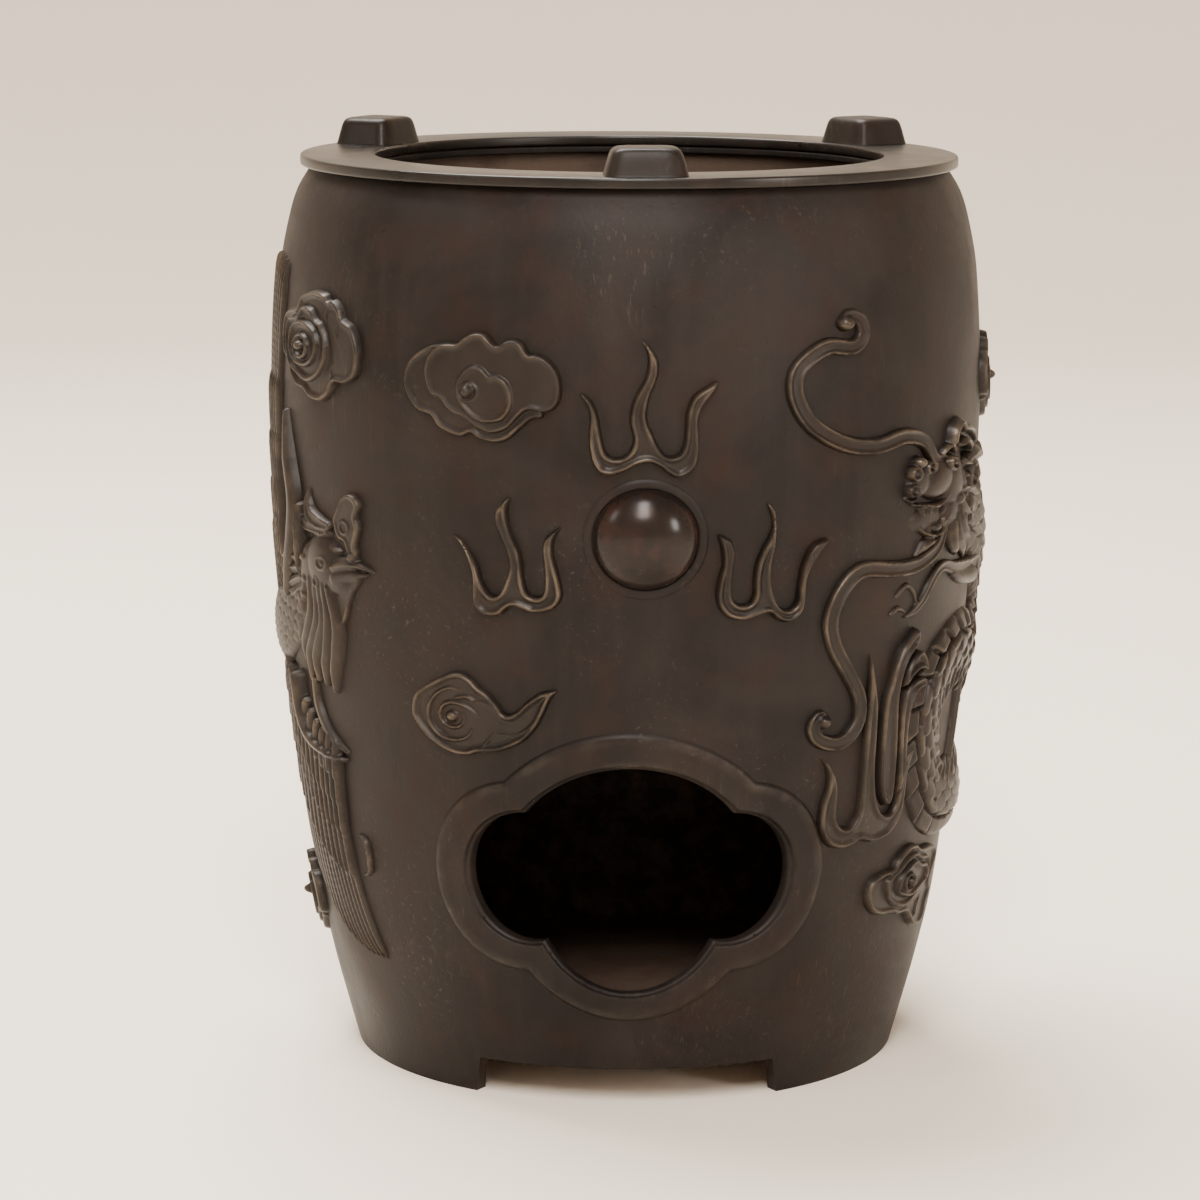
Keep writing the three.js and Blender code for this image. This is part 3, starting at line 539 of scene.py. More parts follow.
@dataclass(frozen=True)
class BronzeFinish:
    """A patinated bronze: its tones, how rough and how metallic it is, and how its relief has worn.

    Rubbed crests and the hollow tone, painted shade with some dust in a relief's creases, are left
    out where a finish has no crest tone. Scales are in cells per metre, and skin_depth, the depth
    of the cast skin, is in metres.
    """

    name: str
    slot: str
    dark: Colour = (0.0074, 0.0058, 0.0053)
    light: Colour = (0.0178, 0.0137, 0.0122)
    stain: Colour = (0.0175, 0.008, 0.0055)
    speck: Colour = (0.045, 0.038, 0.031)
    mottle_scale: float = 22.0
    rough: Pair = (0.42, 0.62)
    metallic: float = 0.12
    specular: float = 0.13
    grain: float = 0.5
    pits: float = 0.6
    bump: float = 0.2
    skin_depth: float = 0.0006
    crest: Colour | None = None
    # Tone of the hollow mask: painted shade with some dust in a relief's creases and along its foot; on the
    # barrel it lightens the inner faces.
    hollow: Colour = (0.05, 0.028, 0.015)
    wear_and_shade_spread: float = 160.0
    wear_polish: float = 0.16

    def group(self, board: ShaderBoard, effect: Effect, inputs: dict[str, object]) -> object:
        """The outputs of one shared effect, placed in this finish with its own values."""
        tree = bpy.data.node_groups.get(effect.value) or GROUPS[effect]()
        node = board.add("ShaderNodeGroup", node_tree=tree)
        for key, value in inputs.items():
            node.inputs[key].default_value = value
        return node.outputs

    def material(self) -> bpy.types.Material:
        """The finish as a material, made once and then shared."""
        found = bpy.data.materials.get(self.name)
        if found:
            return found
        material = bpy.data.materials.new(self.name)
        material.use_nodes = True
        board = ShaderBoard(material.node_tree)
        shader = material.node_tree.nodes["Principled BSDF"]
        tones = {"Dark": (*self.dark, 1), "Light": (*self.light, 1), "Stain": (*self.stain, 1),
                 "Speck": (*self.speck, 1), "Scale": self.mottle_scale}
        mottle = self.group(board, Effect.MOTTLE, tones)
        grain = self.group(board, Effect.GRAIN, {"Grain": self.grain, "Pits": self.pits})
        colour, roughness = mottle["Color"], board.ramp(mottle["Cloud"], 0.0, 1.0, *self.rough)
        if self.crest:
            wear_and_shade = self.group(board, Effect.WEAR_AND_SHADE, {"Spread": self.wear_and_shade_spread})
            # Hollow tone: painted shade with some dust where a relief lies low, a lighter tone on the
            # barrel's inner faces.
            colour = board.blend(wear_and_shade["Hollow"], colour, (*self.hollow, 1))
            colour = board.blend(wear_and_shade["Crest"], colour, (*self.crest, 1))
            polish = board.product(wear_and_shade["Crest"], self.wear_polish)
            roughness = board.maths("SUBTRACT", roughness, polish)
        skin = {"Strength": self.bump, "Distance": self.skin_depth, "Height": grain["Height"]}
        bump = board.add("ShaderNodeBump", skin)
        links = material.node_tree.links
        links.new(colour, shader.inputs["Base Color"])
        links.new(roughness, shader.inputs["Roughness"])
        links.new(bump.outputs["Normal"], shader.inputs["Normal"])
        shader.inputs["Metallic"].default_value = self.metallic
        shader.inputs["Specular IOR Level"].default_value = self.specular
        return material


# Its hollow tone falls only on the barrel's inner faces, which it lightens to a reddish brown.
WALL_BRONZE = BronzeFinish(
    "wall_patina", "barrel_bronze", crest=(0.05, 0.04, 0.03), hollow=(0.07, 0.04, 0.028),
)
FRAME_BRONZE = BronzeFinish("band_patina", "barrel_bronze", crest=(0.11, 0.09, 0.07))
# Its near-black hollow tone is painted shade in the creases and along the foot of the relief, with some
# dust.
RELIEF_BRONZE = BronzeFinish(
    "relief_patina", "relief_bronze", dark=(0.0065, 0.0047, 0.004), light=(0.019, 0.014, 0.011),
    rough=(0.38, 0.52), metallic=0.3, specular=0.26, crest=(0.066, 0.049, 0.034),
    hollow=(0.003, 0.0022, 0.0018), wear_and_shade_spread=90.0,
)
RING_BRONZE = BronzeFinish(
    "ring_patina", "ring_bronze", dark=(0.003, 0.0023, 0.002), light=(0.0085, 0.0064, 0.0053),
    rough=(0.26, 0.4), specular=0.3, grain=0.2, bump=0.12,
)
REST_BRONZE = BronzeFinish(
    "rest_patina", "rest_bronze", dark=(0.0062, 0.0047, 0.004), light=(0.0165, 0.0124, 0.0102),
    rough=(0.36, 0.5), grain=0.25, pits=0.3,
)
JEWEL_BRONZE = BronzeFinish(
    "jewel_polish", "jewel_bronze", dark=(0.008, 0.0055, 0.0047), light=(0.016, 0.0103, 0.0086),
    stain=(0.036, 0.0125, 0.0085), speck=(0.026, 0.013, 0.01), mottle_scale=48.0, rough=(0.2, 0.32),
    specular=0.2, grain=0.1, pits=0.15, bump=0.06,
)
HOOP_BRONZE = replace(
    RING_BRONZE, name="hoop_patina", slot="inside_bronze", rough=(0.5, 0.7), specular=0.15,
)
SETTING_BRONZE = replace(WALL_BRONZE, name="setting_patina", slot="relief_bronze", crest=None)
INSIDE_BRONZE = BronzeFinish(
    "inside_soot", "inside_bronze", dark=(0.035, 0.024, 0.018), light=(0.065, 0.045, 0.034),
    rough=(0.7, 0.85), metallic=0.1, grain=0.9, bump=0.3,
)
FLOOR_BRONZE = BronzeFinish(
    "ash_floor_rust", "inside_bronze", dark=(0.1, 0.066, 0.05), light=(0.16, 0.112, 0.086),
    stain=(0.11, 0.06, 0.042), speck=(0.2, 0.15, 0.12), rough=(0.75, 0.9), metallic=0.0, grain=1.0,
    bump=0.35,
)
GRATE_IRON = BronzeFinish(
    "grate_scale", "grate_iron", dark=(0.02, 0.014, 0.011), light=(0.045, 0.03, 0.022),
    rough=(0.68, 0.82), metallic=0.2, grain=1.0, bump=0.35,
)


@dataclass
class Barrel:
    """The cast wall with its three legs and the port's hole."""

    wall: Wall
    port: "PortFrame"
    columns: int = 360
    row_height: float = 2.0
    notch_height: float = 10.0
    notch_rows: int = 6
    notch_half_angle: float = 30.5
    notch_flare: float = 2.5
    notch_fade: float = 24.0
    notch_draw: float = 8.0
    legs: int = 3
    step_width: float = 3.8
    step_depth: float = 3.0
    collar_radius: float = 73.5
    collar_height: float = 7.0
    collar_slope: float = 14.0

    def inside(self, z: Array) -> tuple[Array, Array]:
        """The inside of the wall: it runs level with the outside up to the collar, then follows
        the collar and the step that the bowl's flange lies in.

        Args:
            z: Heights of the rows on the outside.

        Returns:
            The radius and the height of the matching rows inside.
        """
        step_height = self.wall.height - self.step_depth
        collar_low = step_height - self.collar_height
        slope_low = collar_low - self.collar_slope
        step_radius = self.wall.mouth_radius - self.step_width
        path = np.array([
            (self.wall.radius(slope_low) - self.wall.thickness, slope_low),
            (self.collar_radius, collar_low), (self.collar_radius, step_height),
            (step_radius, step_height), (step_radius, self.wall.height),
        ])
        length = np.r_[0, np.cumsum(np.linalg.norm(np.diff(path, axis=0), axis=1))]
        share = np.clip((z - slope_low) / (self.wall.height - slope_low), 0, 1) * length[-1]
        below = z < slope_low
        r = np.where(below, self.wall.radius(z) - self.wall.thickness, np.interp(share, length, path[:, 0]))
        return r, np.where(below, z, np.interp(share, length, path[:, 1]))

    def azimuths(self, z: Array) -> tuple[Array, Array]:
        """Azimuths of the grid, drawn over so that columns run down the sides of the notches.

        Args:
            z: Heights of the rows.

        Returns:
            The azimuths in degrees by row and column, and which columns of cells lie in a notch.
        """
        column = 360.0 / self.columns
        even = np.arange(self.columns) * column - 180.0
        drawn = np.broadcast_to(even, (len(z), self.columns)).copy()
        half = self.notch_half_angle + self.notch_flare * np.clip(1 - z / self.notch_height, 0, 1)
        fade = np.clip(1 - (z - self.notch_height) / self.notch_fade, 0, 1)
        in_notch = np.zeros(self.columns, bool)
        for leg in range(self.legs):
            centre = (leg * 360.0 / self.legs + 180.0) % 360.0 - 180.0
            offset = (even - centre + 180.0) % 360.0 - 180.0
            for side in (-1, 1):
                nearest = offset[np.argmin(np.abs(offset - side * self.notch_half_angle))]
                pull = np.clip(1 - np.abs(offset - nearest) / self.notch_draw, 0, 1)
                drawn += ((side * half - nearest) * fade)[:, None] * pull
            limit = self.notch_half_angle - column / 2
            in_notch |= (offset > -limit - column) & (offset < limit)
        return drawn, in_notch

    def build(self) -> None:
        """Make the wall as one closed shell and settle it."""
        rows = round((self.wall.height - self.notch_height) / self.row_height)
        z = np.r_[
            np.linspace(0, self.notch_height, self.notch_rows),
            np.linspace(self.notch_height, self.wall.height, rows)[1:],
        ]
        azimuth, in_notch = self.azimuths(z)
        u = np.radians(azimuth) * self.wall.unroll_radius
        level = np.broadcast_to(z[:, None], u.shape)
        outer = self.wall.place(u, level, 0.0)
        r_in, z_in = self.inside(z)
        inner = turned(np.radians(azimuth), r_in[:, None], z_in[:, None]) * MM
        middle_u = (u[:-1] + u[1:]) / 2 + math.pi * self.wall.unroll_radius / self.columns
        middle_z = (level[:-1] + level[1:]) / 2
        keep = ~self.port.covers(middle_u, middle_z)
        keep &= ~((middle_z < self.notch_height) & in_notch[None])
        points, quads, used = closed_shell(outer, inner, keep, wrap=True)
        # The inner faces take the finish's hollow tone, a reddish brown lighter than the outside.
        inner_faces = (used >= u.size).astype(float)
        masks = {"crest": np.zeros(len(points)), "hollow": inner_faces}
        settle(make_piece("barrel_wall", points, quads, 50.0, masks), "barrel", WALL_BRONZE, "barrel")


@dataclass
class PortFrame:
    """The four-lobed air port: a soft raised band with a lip, and a lining through the wall.

    The outline is four arcs through a top, a waist on each side and a bottom, which meet in cusps.
    Each of these places is written with its move for a millimetre of margin.
    """

    wall: Wall
    shift: float = 1.2
    top: tuple[Pair, Pair] = ((0.0, 92.0), (0.0, 1.0))
    upper_cusp: tuple[Pair, Pair] = ((28.0, 79.5), (0.55, 0.85))
    waist: tuple[Pair, Pair] = ((45.0, 62.0), (1.1, 0.0))
    lower_cusp: tuple[Pair, Pair] = ((23.5, 45.0), (0.55, -0.9))
    bottom: tuple[Pair, Pair] = ((0.0, 31.0), (0.0, -0.78))
    steps: int = 90
    hidden_margin: float = 1.2
    chip_centre: float = 2.5
    chip_reach: float = 5.0
    chip_width: float = 1.2
    section: Points = (
        (9.6, -0.6), (9.2, -0.1), (8.6, 0.55), (7.9, 0.95), (7.0, 1.05), (5.5, 0.92), (3.8, 0.82),
        (2.2, 0.86), (1.3, 0.95), (0.8, 0.9), (0.55, 0.55), (0.4, 0.0), (0.2, -0.3), (-0.15, -0.5),
        (-0.4, -0.8), (-0.45, -1.6), (-0.45, -3.2), (-0.2, -4.2), (0.6, -4.6), (2.4, -4.6), (2.8, -4.0),
        (2.8, -2.6), (5.0, -1.6), (9.0, -1.3),
    )

    @staticmethod
    def arc(a: Array, b: Array, c: Array, steps: int) -> Array:
        """Points of the arc from a through b to c, without c.

        Args:
            a: Where the arcs start, by section.
            b: What they pass through.
            c: Where they end.
            steps: Points on each arc.

        Returns:
            Points by section and step.
        """
        (ax, ay), (bx, by), (cx, cy) = a.T, b.T, c.T
        aa, bb, cc = (a**2).sum(1), (b**2).sum(1), (c**2).sum(1)
        divisor = 2 * (ax * (by - cy) + bx * (cy - ay) + cx * (ay - by))
        ox = (aa * (by - cy) + bb * (cy - ay) + cc * (ay - by)) / divisor
        oy = (aa * (cx - bx) + bb * (ax - cx) + cc * (bx - ax)) / divisor
        centre = np.stack([ox, oy], 1)
        radius = np.linalg.norm(a - centre, axis=1)
        start = np.arctan2(*(a - centre).T[::-1])
        end = np.arctan2(*(c - centre).T[::-1])
        sweep = -((start - end) % (2 * math.pi))
        angle = start[:, None] + sweep[:, None] * np.arange(steps)[None] / steps
        return centre[:, None] + radius[:, None, None] * np.stack([np.cos(angle), np.sin(angle)], -1)

    def outline(self, margin: Array) -> Array:
        """The port's outline moved out by each margin, clockwise seen from outside.

        Args:
            margin: How far each outline lies outside the hole.

        Returns:
            Points (u, z) by margin and step.
        """
        grown = np.asarray(margin, float)[:, None]
        top, up, waist, low, bottom = (
            np.array(place) + grown * np.array(move)
            for place, move in (self.top, self.upper_cusp, self.waist, self.lower_cusp, self.bottom)
        )
        flip = np.array([-1.0, 1.0])
        arcs = (
            (up * flip, top, up), (up, waist, low),
            (low, bottom, low * flip), (low * flip, waist * flip, up * flip),
        )
        parts = [self.arc(*places, self.steps) for places in arcs]
        return np.concatenate(parts, 1) + np.array([self.shift, 0.0])

    def covers(self, u: Array, z: Array) -> Array:
        """Which points lie in the hole or just under the band's lip."""
        return inside_outline(self.outline(np.array([self.hidden_margin]))[0], u, z)

    def build(self) -> None:
        """Carry the section round the outline and settle the frame."""
        margin, lift = np.array(self.section).T
        outline = self.outline(margin)
        rings = self.wall.place(outline[..., 0], outline[..., 1], lift[:, None])
        points, quads = swept_loop(rings)
        crest = np.clip((lift - 0.8) * 3.0, 0, 1) * np.clip(np.abs(margin - 4.0) - 2.6, 0, 1)
        chip = np.exp(-(((outline[..., 0] - self.chip_centre) / self.chip_reach) ** 2))
        chip = chip * (outline[..., 1] > self.waist[0][1])
        chip = chip * np.clip(1 - np.abs(margin - 0.4) / self.chip_width, 0, 1)[:, None]
        masks = {"crest": (crest[:, None] * 0.35 + chip).ravel(), "hollow": np.zeros(len(points))}
        frame = make_piece("port_band", points, quads[:, ::-1], 60.0, masks)
        settle(frame, "barrel", FRAME_BRONZE, "port_frame")


def inside_outline(outline: Array, u: Array, z: Array) -> Array:
    """Which points lie inside a closed outline, by counting the edges to their right.

    Args:
        outline: The outline's points.
        u: Points' arcs.
        z: Points' heights.

    Returns:
        True for the points inside.
    """
    flat_u, flat_z = u.ravel(), z.ravel()
    inside = np.zeros(flat_u.shape, bool)
    low, high = outline.min(0), outline.max(0)
    near = (flat_u >= low[0]) & (flat_u <= high[0]) & (flat_z >= low[1]) & (flat_z <= high[1])
    pu, pz = flat_u[near][:, None], flat_z[near][:, None]
    a, b = outline, np.roll(outline, -1, axis=0)
    rise = b[:, 1] - a[:, 1]
    rise[rise == 0] = 1e-12
    crosses = (a[:, 1] > pz) != (b[:, 1] > pz)
    reach = a[:, 0] + (pz - a[:, 1]) * (b[:, 0] - a[:, 0]) / rise
    inside[near] = (crosses & (pu < reach)).sum(1) % 2 == 1
    return inside.reshape(u.shape)


class Section(Enum):
    """How a strand or lump falls from its middle to its edge: (share of half width, share of height)."""

    ROUND = ((0, 1), (0.3, 0.96), (0.6, 0.8), (0.85, 0.42), (1, 0), (1.4, -1.3))
    CREST = ((0, 1), (0.14, 0.88), (0.42, 0.66), (0.8, 0.45), (1, 0), (1.4, -1.2))
    RIMMED = ((0, 0.5), (0.4, 0.52), (0.6, 0.78), (0.74, 1), (0.88, 0.72), (1, 0), (1.3, -1.6))
    FEATHER = ((0, 1), (0.1, 0.9), (0.22, 0.76), (0.6, 0.74), (0.88, 0.6), (1, 0), (1.25, -1.4))
    DOME = ((0, 1), (0.25, 0.97), (0.5, 0.866), (0.75, 0.66), (0.9, 0.42), (1, 0), (1.2, -0.8))


Pattern = Callable[[Array, Array, Array], Array]


def scales(pitch: float, depth: float) -> Pattern:
    """Rounded scales in staggered rows, each lying over the next one down the path.

    Args:
        pitch: Distance between rows; a scale is a little wider than that.
        depth: How far a free edge stands over the scale below it.

    Returns:
        A function of the way along, the way across and the half width that gives a height.
    """
    width = 1.12 * pitch

    def pattern(s: Array, v: Array, _half: Array) -> Array:
        height = np.zeros_like(s)
        free = np.ones(s.shape, bool)
        for back in (2, 1, 0):
            row = np.floor(s / pitch) - back
            stagger = 0.5 * (row % 2)
            aside = v / width - stagger
            aside = 2 * (aside - np.round(aside))
            reach = pitch * (0.55 + 1.0 * np.sqrt(np.clip(1 - aside**2, 0, 1)))
            gone = s - row * pitch
            covers = free & (gone < reach)
            to_edge = np.clip((reach - gone) / 0.8, 0, 1)
            rise = 0.5 * gone / (1.55 * pitch) + 0.5 * (1 - aside**2) - 0.8 * (1 - to_edge) ** 2
            height[covers] = rise[covers]
            free &= ~covers
        return depth * (height - 0.75)

    return pattern


def dragon_skin(pitch: float, depth: float, plate: float) -> Pattern:
    """Scales over the back and broad plates along the belly, which lies right of the way along."""
    back = scales(pitch, depth)

    def pattern(s: Array, v: Array, half: Array) -> Array:
        gone = (s + 0.4 * v) / plate % 1.0
        groove = np.exp(-((np.minimum(gone, 1 - gone) / 0.07) ** 2))
        plates = depth * 0.8 * (np.minimum(gone, 0.85) - 1.4 * groove - 0.9)
        seam = depth * -1.5 * np.exp(-(((v + 0.4 * half) / 0.45) ** 2))
        return np.where(v < -0.4 * half, plates, back(s, v, half)) + seam

    return pattern


def barbs(pitch: float, depth: float) -> Pattern:
    """Slanting barbs on both sides of a feather's shaft."""

    def pattern(s: Array, v: Array, _half: Array) -> Array:
        return depth * np.sin(2 * math.pi * (s - 1.1 * np.abs(v)) / pitch) * np.clip(np.abs(v) - 0.3, 0, 1)

    return pattern


@dataclass(frozen=True)
class Strand:
    """A raised strand along given points, with half widths and heights spread evenly along it."""

    points: Points
    widths: tuple[float, ...]
    heights: tuple[float, ...]
    section: Section = Section.ROUND
    tilt: float = 0.0
    pattern: Pattern | None = None


@dataclass(frozen=True)
class Lump:
    """A raised ellipse, turned by an angle in degrees."""

    centre: Pair
    radii: Pair
    height: float
    turn: float = 0.0
    section: Section = Section.ROUND


def ringed(centre: Pair, radii: Pair, height: float, turn: float = 0.0) -> Lump:
    """A lump with a raised rim round a dip."""
    return Lump(centre, radii, height, turn, Section.RIMMED)


@dataclass(frozen=True)
class Plate:
    """A raised shape inside a smooth closed outline, dished behind a rim that follows its edge."""

    outline: Points
    height: float
    rim: float = 0.95
    dish: float = 0.45


@dataclass(frozen=True)
class Fan:
    """Feathers between a curve of roots and a curve of tips, in rows that lie over each other.

    Each row is (how many, share where it begins, share where it ends, lift at root, lift at tip).
    A feather's half width is its fullness times the overlap times the distance to the next feather.
    """

    roots: Points
    tips: Points
    rows: tuple[tuple[int, float, float, float, float], ...]
    bow: float = 0.0
    tilt: float = 0.4
    fullness: tuple[float, ...] = (0.9, 1, 1, 1, 0.86, 0.25)
    overlap: float = 0.6
    samples: int = 201

    def feathers(self) -> list[Strand]:
        """The feathers of all rows, as strands."""
        found = []
        for count, begin, end, low, high in self.rows:
            picks = (np.arange(count) + 0.5) * ((self.samples - 1) / count)
            roots = smooth_curve(self.roots, self.samples)[picks.astype(int)]
            tips = smooth_curve(self.tips, self.samples)[picks.astype(int)]
            gap_root = np.gradient(roots, axis=0) if count > 1 else tips - roots
            gap_tip = np.gradient(tips, axis=0) if count > 1 else tips - roots
            share = np.linspace(begin, end, len(self.fullness))
            for k in range(count):
                way = tips[k] - roots[k]
                aside = np.array([-way[1], way[0]]) / np.linalg.norm(way)
                bowed = (4 * self.bow * share * (1 - share))[:, None] * aside
                line = roots[k] + share[:, None] * way + bowed
                gap = (gap_root[k] + share[:, None] * (gap_tip[k] - gap_root[k])) @ aside
                widths = np.maximum(self.overlap * np.abs(gap) * np.array(self.fullness), 0.3)
                heights = np.linspace(low, high, len(self.fullness))
                found.append(Strand(
                    tuple(map(tuple, line)), tuple(widths), tuple(heights),
                    Section.FEATHER, self.tilt, barbs(1.9, 0.2),
                ))
        return found


Mark = Strand | Lump | Plate | Fan


class ReliefField:
    """Heights of a relief over a patch of the unrolled wall, built up from marks.

    GROUND is the height where nothing is raised and UNDERSIDE that of the closed back. A cell is
    kept where a corner stands above SUNK. STEEPEST is the slope of a strand's flank, SAMPLE the
    spacing along a strand's path and SOFTNESS the width over which the masks compare heights.
    """

    GROUND = -2.2
    UNDERSIDE = -2.7
    SUNK = -0.25
    STEEPEST = 2.8
    SAMPLE = 0.6
    SOFTNESS = 1.6
    BLOCK = 2_000_000

    def __init__(self, wall: Wall, low: Pair, high: Pair, step: float) -> None:
        """Lay out the grid between two corners (u, z)."""
        self.wall = wall
        self.step = step
        across = np.linspace(low[0], high[0], round((high[0] - low[0]) / step) + 1)
        up = np.linspace(low[1], high[1], round((high[1] - low[1]) / step) + 1)
        self.u, self.z = np.meshgrid(across, up)
        self.height = np.full(self.u.shape, self.GROUND)

    def window(self, points: Array, reach: float) -> tuple[slice, slice]:
        """The part of the grid within reach of some points."""
        low, high = points.min(0) - reach, points.max(0) + reach
        cols = np.searchsorted(self.u[0], (low[0], high[0]))
        rows = np.searchsorted(self.z[:, 0], (low[1], high[1]))
        return slice(*rows), slice(*cols)

    def follow(self, path: Array, where: tuple[slice, slice], closed: bool) -> tuple[Array, ...]:
        """How far along and how far aside of a path each grid point of a window lies.

        Args:
            path: Dense samples of the path.
            where: The window.
            closed: Whether the path ends where it starts.

        Returns:
            The share of the samples passed, the length passed, and the distance aside, which is
            positive to the left of the way along.
        """
        shape = self.u[where].shape
        points = np.stack([self.u[where].ravel(), self.z[where].ravel()], 1)
        blocks = np.array_split(points, max(1, len(points) * len(path) // self.BLOCK))
        nearest = np.concatenate([
            np.argmin((b[:, :1] - path[:, 0]) ** 2 + (b[:, 1:] - path[:, 1]) ** 2, axis=1) for b in blocks
        ])
        step = np.gradient(path, axis=0)
        size = np.linalg.norm(step, axis=1)
        tangent = step / size[:, None]
        travelled = np.r_[0, np.cumsum(np.linalg.norm(np.diff(path, axis=0), axis=1))]
        away = points - path[nearest]
        ahead = (away * tangent[nearest]).sum(1)
        aside = tangent[nearest, 0] * away[:, 1] - tangent[nearest, 1] * away[:, 0]
        last = len(path) - 1
        beyond = ((nearest == 0) & (ahead < 0) | (nearest == last) & (ahead > 0)) & (not closed)
        aside = np.where(beyond, np.copysign(np.hypot(ahead, aside), aside), aside)
        passed = np.clip(nearest + ahead / size[nearest], 0, last)
        along = np.interp(passed, np.arange(last + 1), travelled)
        return (passed / last).reshape(shape), along.reshape(shape), aside.reshape(shape)

    def add_strand(self, mark: Strand) -> None:
        """Raise the field to a strand."""
        length = np.linalg.norm(np.diff(np.array(mark.points), axis=0), axis=1).sum()
        path = smooth_curve(mark.points, max(12, int(length / self.SAMPLE)))
        where = self.window(path, 1.5 * max(mark.widths) + self.step)
        if not self.u[where].size:
            return
        share, along, aside = self.follow(path, where, False)
        half = np.interp(share, np.linspace(0, 1, len(mark.widths)), mark.widths)
        top = np.interp(share, np.linspace(0, 1, len(mark.heights)), mark.heights)
        x = aside / half
        lift = top * smooth_through(mark.section.value, np.abs(x)) + mark.tilt * np.clip(x, -1, 1)
        lift = np.minimum(lift, self.STEEPEST * (half - np.abs(aside)))
        if mark.pattern:
            lift += mark.pattern(along, aside, half) * np.clip(4 * (1 - np.abs(x)), 0, 1)
        self.height[where] = np.maximum(self.height[where], lift)

    def add_lump(self, mark: Lump) -> None:
        """Raise the field to a lump."""
        where = self.window(np.array([mark.centre]), 1.4 * max(mark.radii))
        turn = math.radians(mark.turn)
        du, dz = self.u[where] - mark.centre[0], self.z[where] - mark.centre[1]
        x = (du * math.cos(turn) + dz * math.sin(turn)) / mark.radii[0]
        y = (dz * math.cos(turn) - du * math.sin(turn)) / mark.radii[1]
        lift = mark.height * smooth_through(mark.section.value, np.hypot(x, y))
        self.height[where] = np.maximum(self.height[where], lift)

    def add_plate(self, mark: Plate) -> None:
        """Raise the field to a plate."""
        outline = smooth_curve(mark.outline, 12 * len(mark.outline), closed=True)
        where = self.window(outline, 2 * mark.rim)
        aside = np.abs(self.follow(outline, where, True)[2])
        depth = np.where(inside_outline(outline, self.u[where], self.z[where]), aside, -aside) / mark.rim
        stations = ((-1.5, -2.4), (0, 0), (0.5, 0.78), (1, 1), (1.6, 0.5 + mark.dish / 2), (2.4, mark.dish),
                    (3.4, mark.dish))
        self.height[where] = np.maximum(self.height[where], mark.height * smooth_through(stations, depth))

    def add(self, *marks: Mark) -> "ReliefField":
        """Raise the field to each mark in turn."""
        for mark in marks:
            if isinstance(mark, Fan):
                self.add(*mark.feathers())
            elif isinstance(mark, Strand):
                self.add_strand(mark)
            elif isinstance(mark, Lump):
                self.add_lump(mark)
            else:
                self.add_plate(mark)
        return self

    def masks(self) -> dict[str, Array]:
        """Where the relief stands above or lies below its softened self."""
        ground = np.maximum(self.height, 0.0)
        soft = ground.copy()
        for _ in range(round(self.SOFTNESS / self.step) ** 2):
            pad = np.pad(soft, 1, mode="edge")
            soft = (pad[:-2, 1:-1] + pad[2:, 1:-1] + pad[1:-1, :-2] + pad[1:-1, 2:] + 4 * soft) / 8
        proud = ground - soft
        # hollow marks creases and the foot of the relief, which the finish paints with shade and some dust.
        return {"crest": np.clip(proud * 2.0 - 0.2, 0, 1), "hollow": np.clip(-proud * 1.8 - 0.1, 0, 1)}

    def piece(self, name: str, node: str) -> None:
        """Make the relief as one closed body and settle it.

        Args:
            name: The piece's name.
            node: The solid that it stands for.
        """
        pad = np.pad(self.height, 1, mode="edge")
        level = (pad[:-2] + 2 * pad[1:-1] + pad[2:]) / 4
        self.height = (level[:, :-2] + 2 * level[:, 1:-1] + level[:, 2:]) / 4
        proud = self.height > self.SUNK
        keep = proud[:-1, :-1] | proud[1:, :-1] | proud[:-1, 1:] | proud[1:, 1:]
        outer = self.wall.place(self.u, self.z, self.height)
        inner = self.wall.place(self.u, self.z, self.UNDERSIDE)
        points, quads, used = closed_shell(outer, inner, keep)
        count = self.u.size
        masks = {key: np.r_[mask.ravel(), np.zeros(count)][used] for key, mask in self.masks().items()}
        settle(make_piece(name, points, quads, 75.0, masks), "barrel", RELIEF_BRONZE, node)


def rims(width: float, height: float, *lines: Points) -> list[Strand]:
    """Thin raised rims of even width along several lines."""
    return [Strand(line, (0.6 * width, width, width, 0.6 * width), (height,)) for line in lines]


def moved(
    marks: Sequence[Mark], start: Pair = (0, 0), end: Pair = (0, 0), stretch: Pair = (1, 1),
    share: float = 1.0,
) -> list[Mark]:
    """Marks drawn at one place, set down at another, stretched and raised to a share of their height.

    A fan keeps its place, and only its height changes.

    Args:
        marks: The marks as they were drawn.
        start: The point of the drawing that moves to the end.
        end: Where it goes.
        stretch: Factors along u and z.
        share: Factor on the heights.

    Returns:
        The marks at their new place.
    """
    def shift(point: Pair) -> Pair:
        return (end[0] + (point[0] - start[0]) * stretch[0], end[1] + (point[1] - start[1]) * stretch[1])

    size = min(abs(stretch[0]), abs(stretch[1]))
    result: list[Mark] = []
    for mark in marks:
        if isinstance(mark, Strand):
            points, widths = tuple(map(shift, mark.points)), tuple(w * size for w in mark.widths)
            heights = tuple(h * share for h in mark.heights)
            result.append(replace(mark, points=points, widths=widths, heights=heights))
        elif isinstance(mark, Lump):
            radii = (mark.radii[0] * abs(stretch[0]), mark.radii[1] * abs(stretch[1]))
            result.append(replace(mark, centre=shift(mark.centre), radii=radii, height=mark.height * share))
        elif isinstance(mark, Fan):
            rows = tuple((n, a, b, low * share, high * share) for n, a, b, low, high in mark.rows)
            result.append(replace(mark, rows=rows))
        else:
            outline = tuple(map(shift, mark.outline))
            result.append(replace(mark, outline=outline, height=mark.height * share, rim=mark.rim * size))
    return result


def around_plates(wall: Wall, marks: Sequence[Mark], step: float, margin: float = 3.0) -> ReliefField:
    """An empty field that holds all plates of a drawing, with a margin round them."""
    corners = np.vstack([mark.outline for mark in marks if isinstance(mark, Plate)])
    return ReliefField(wall, corners.min(0) - margin, corners.max(0) + margin, step)


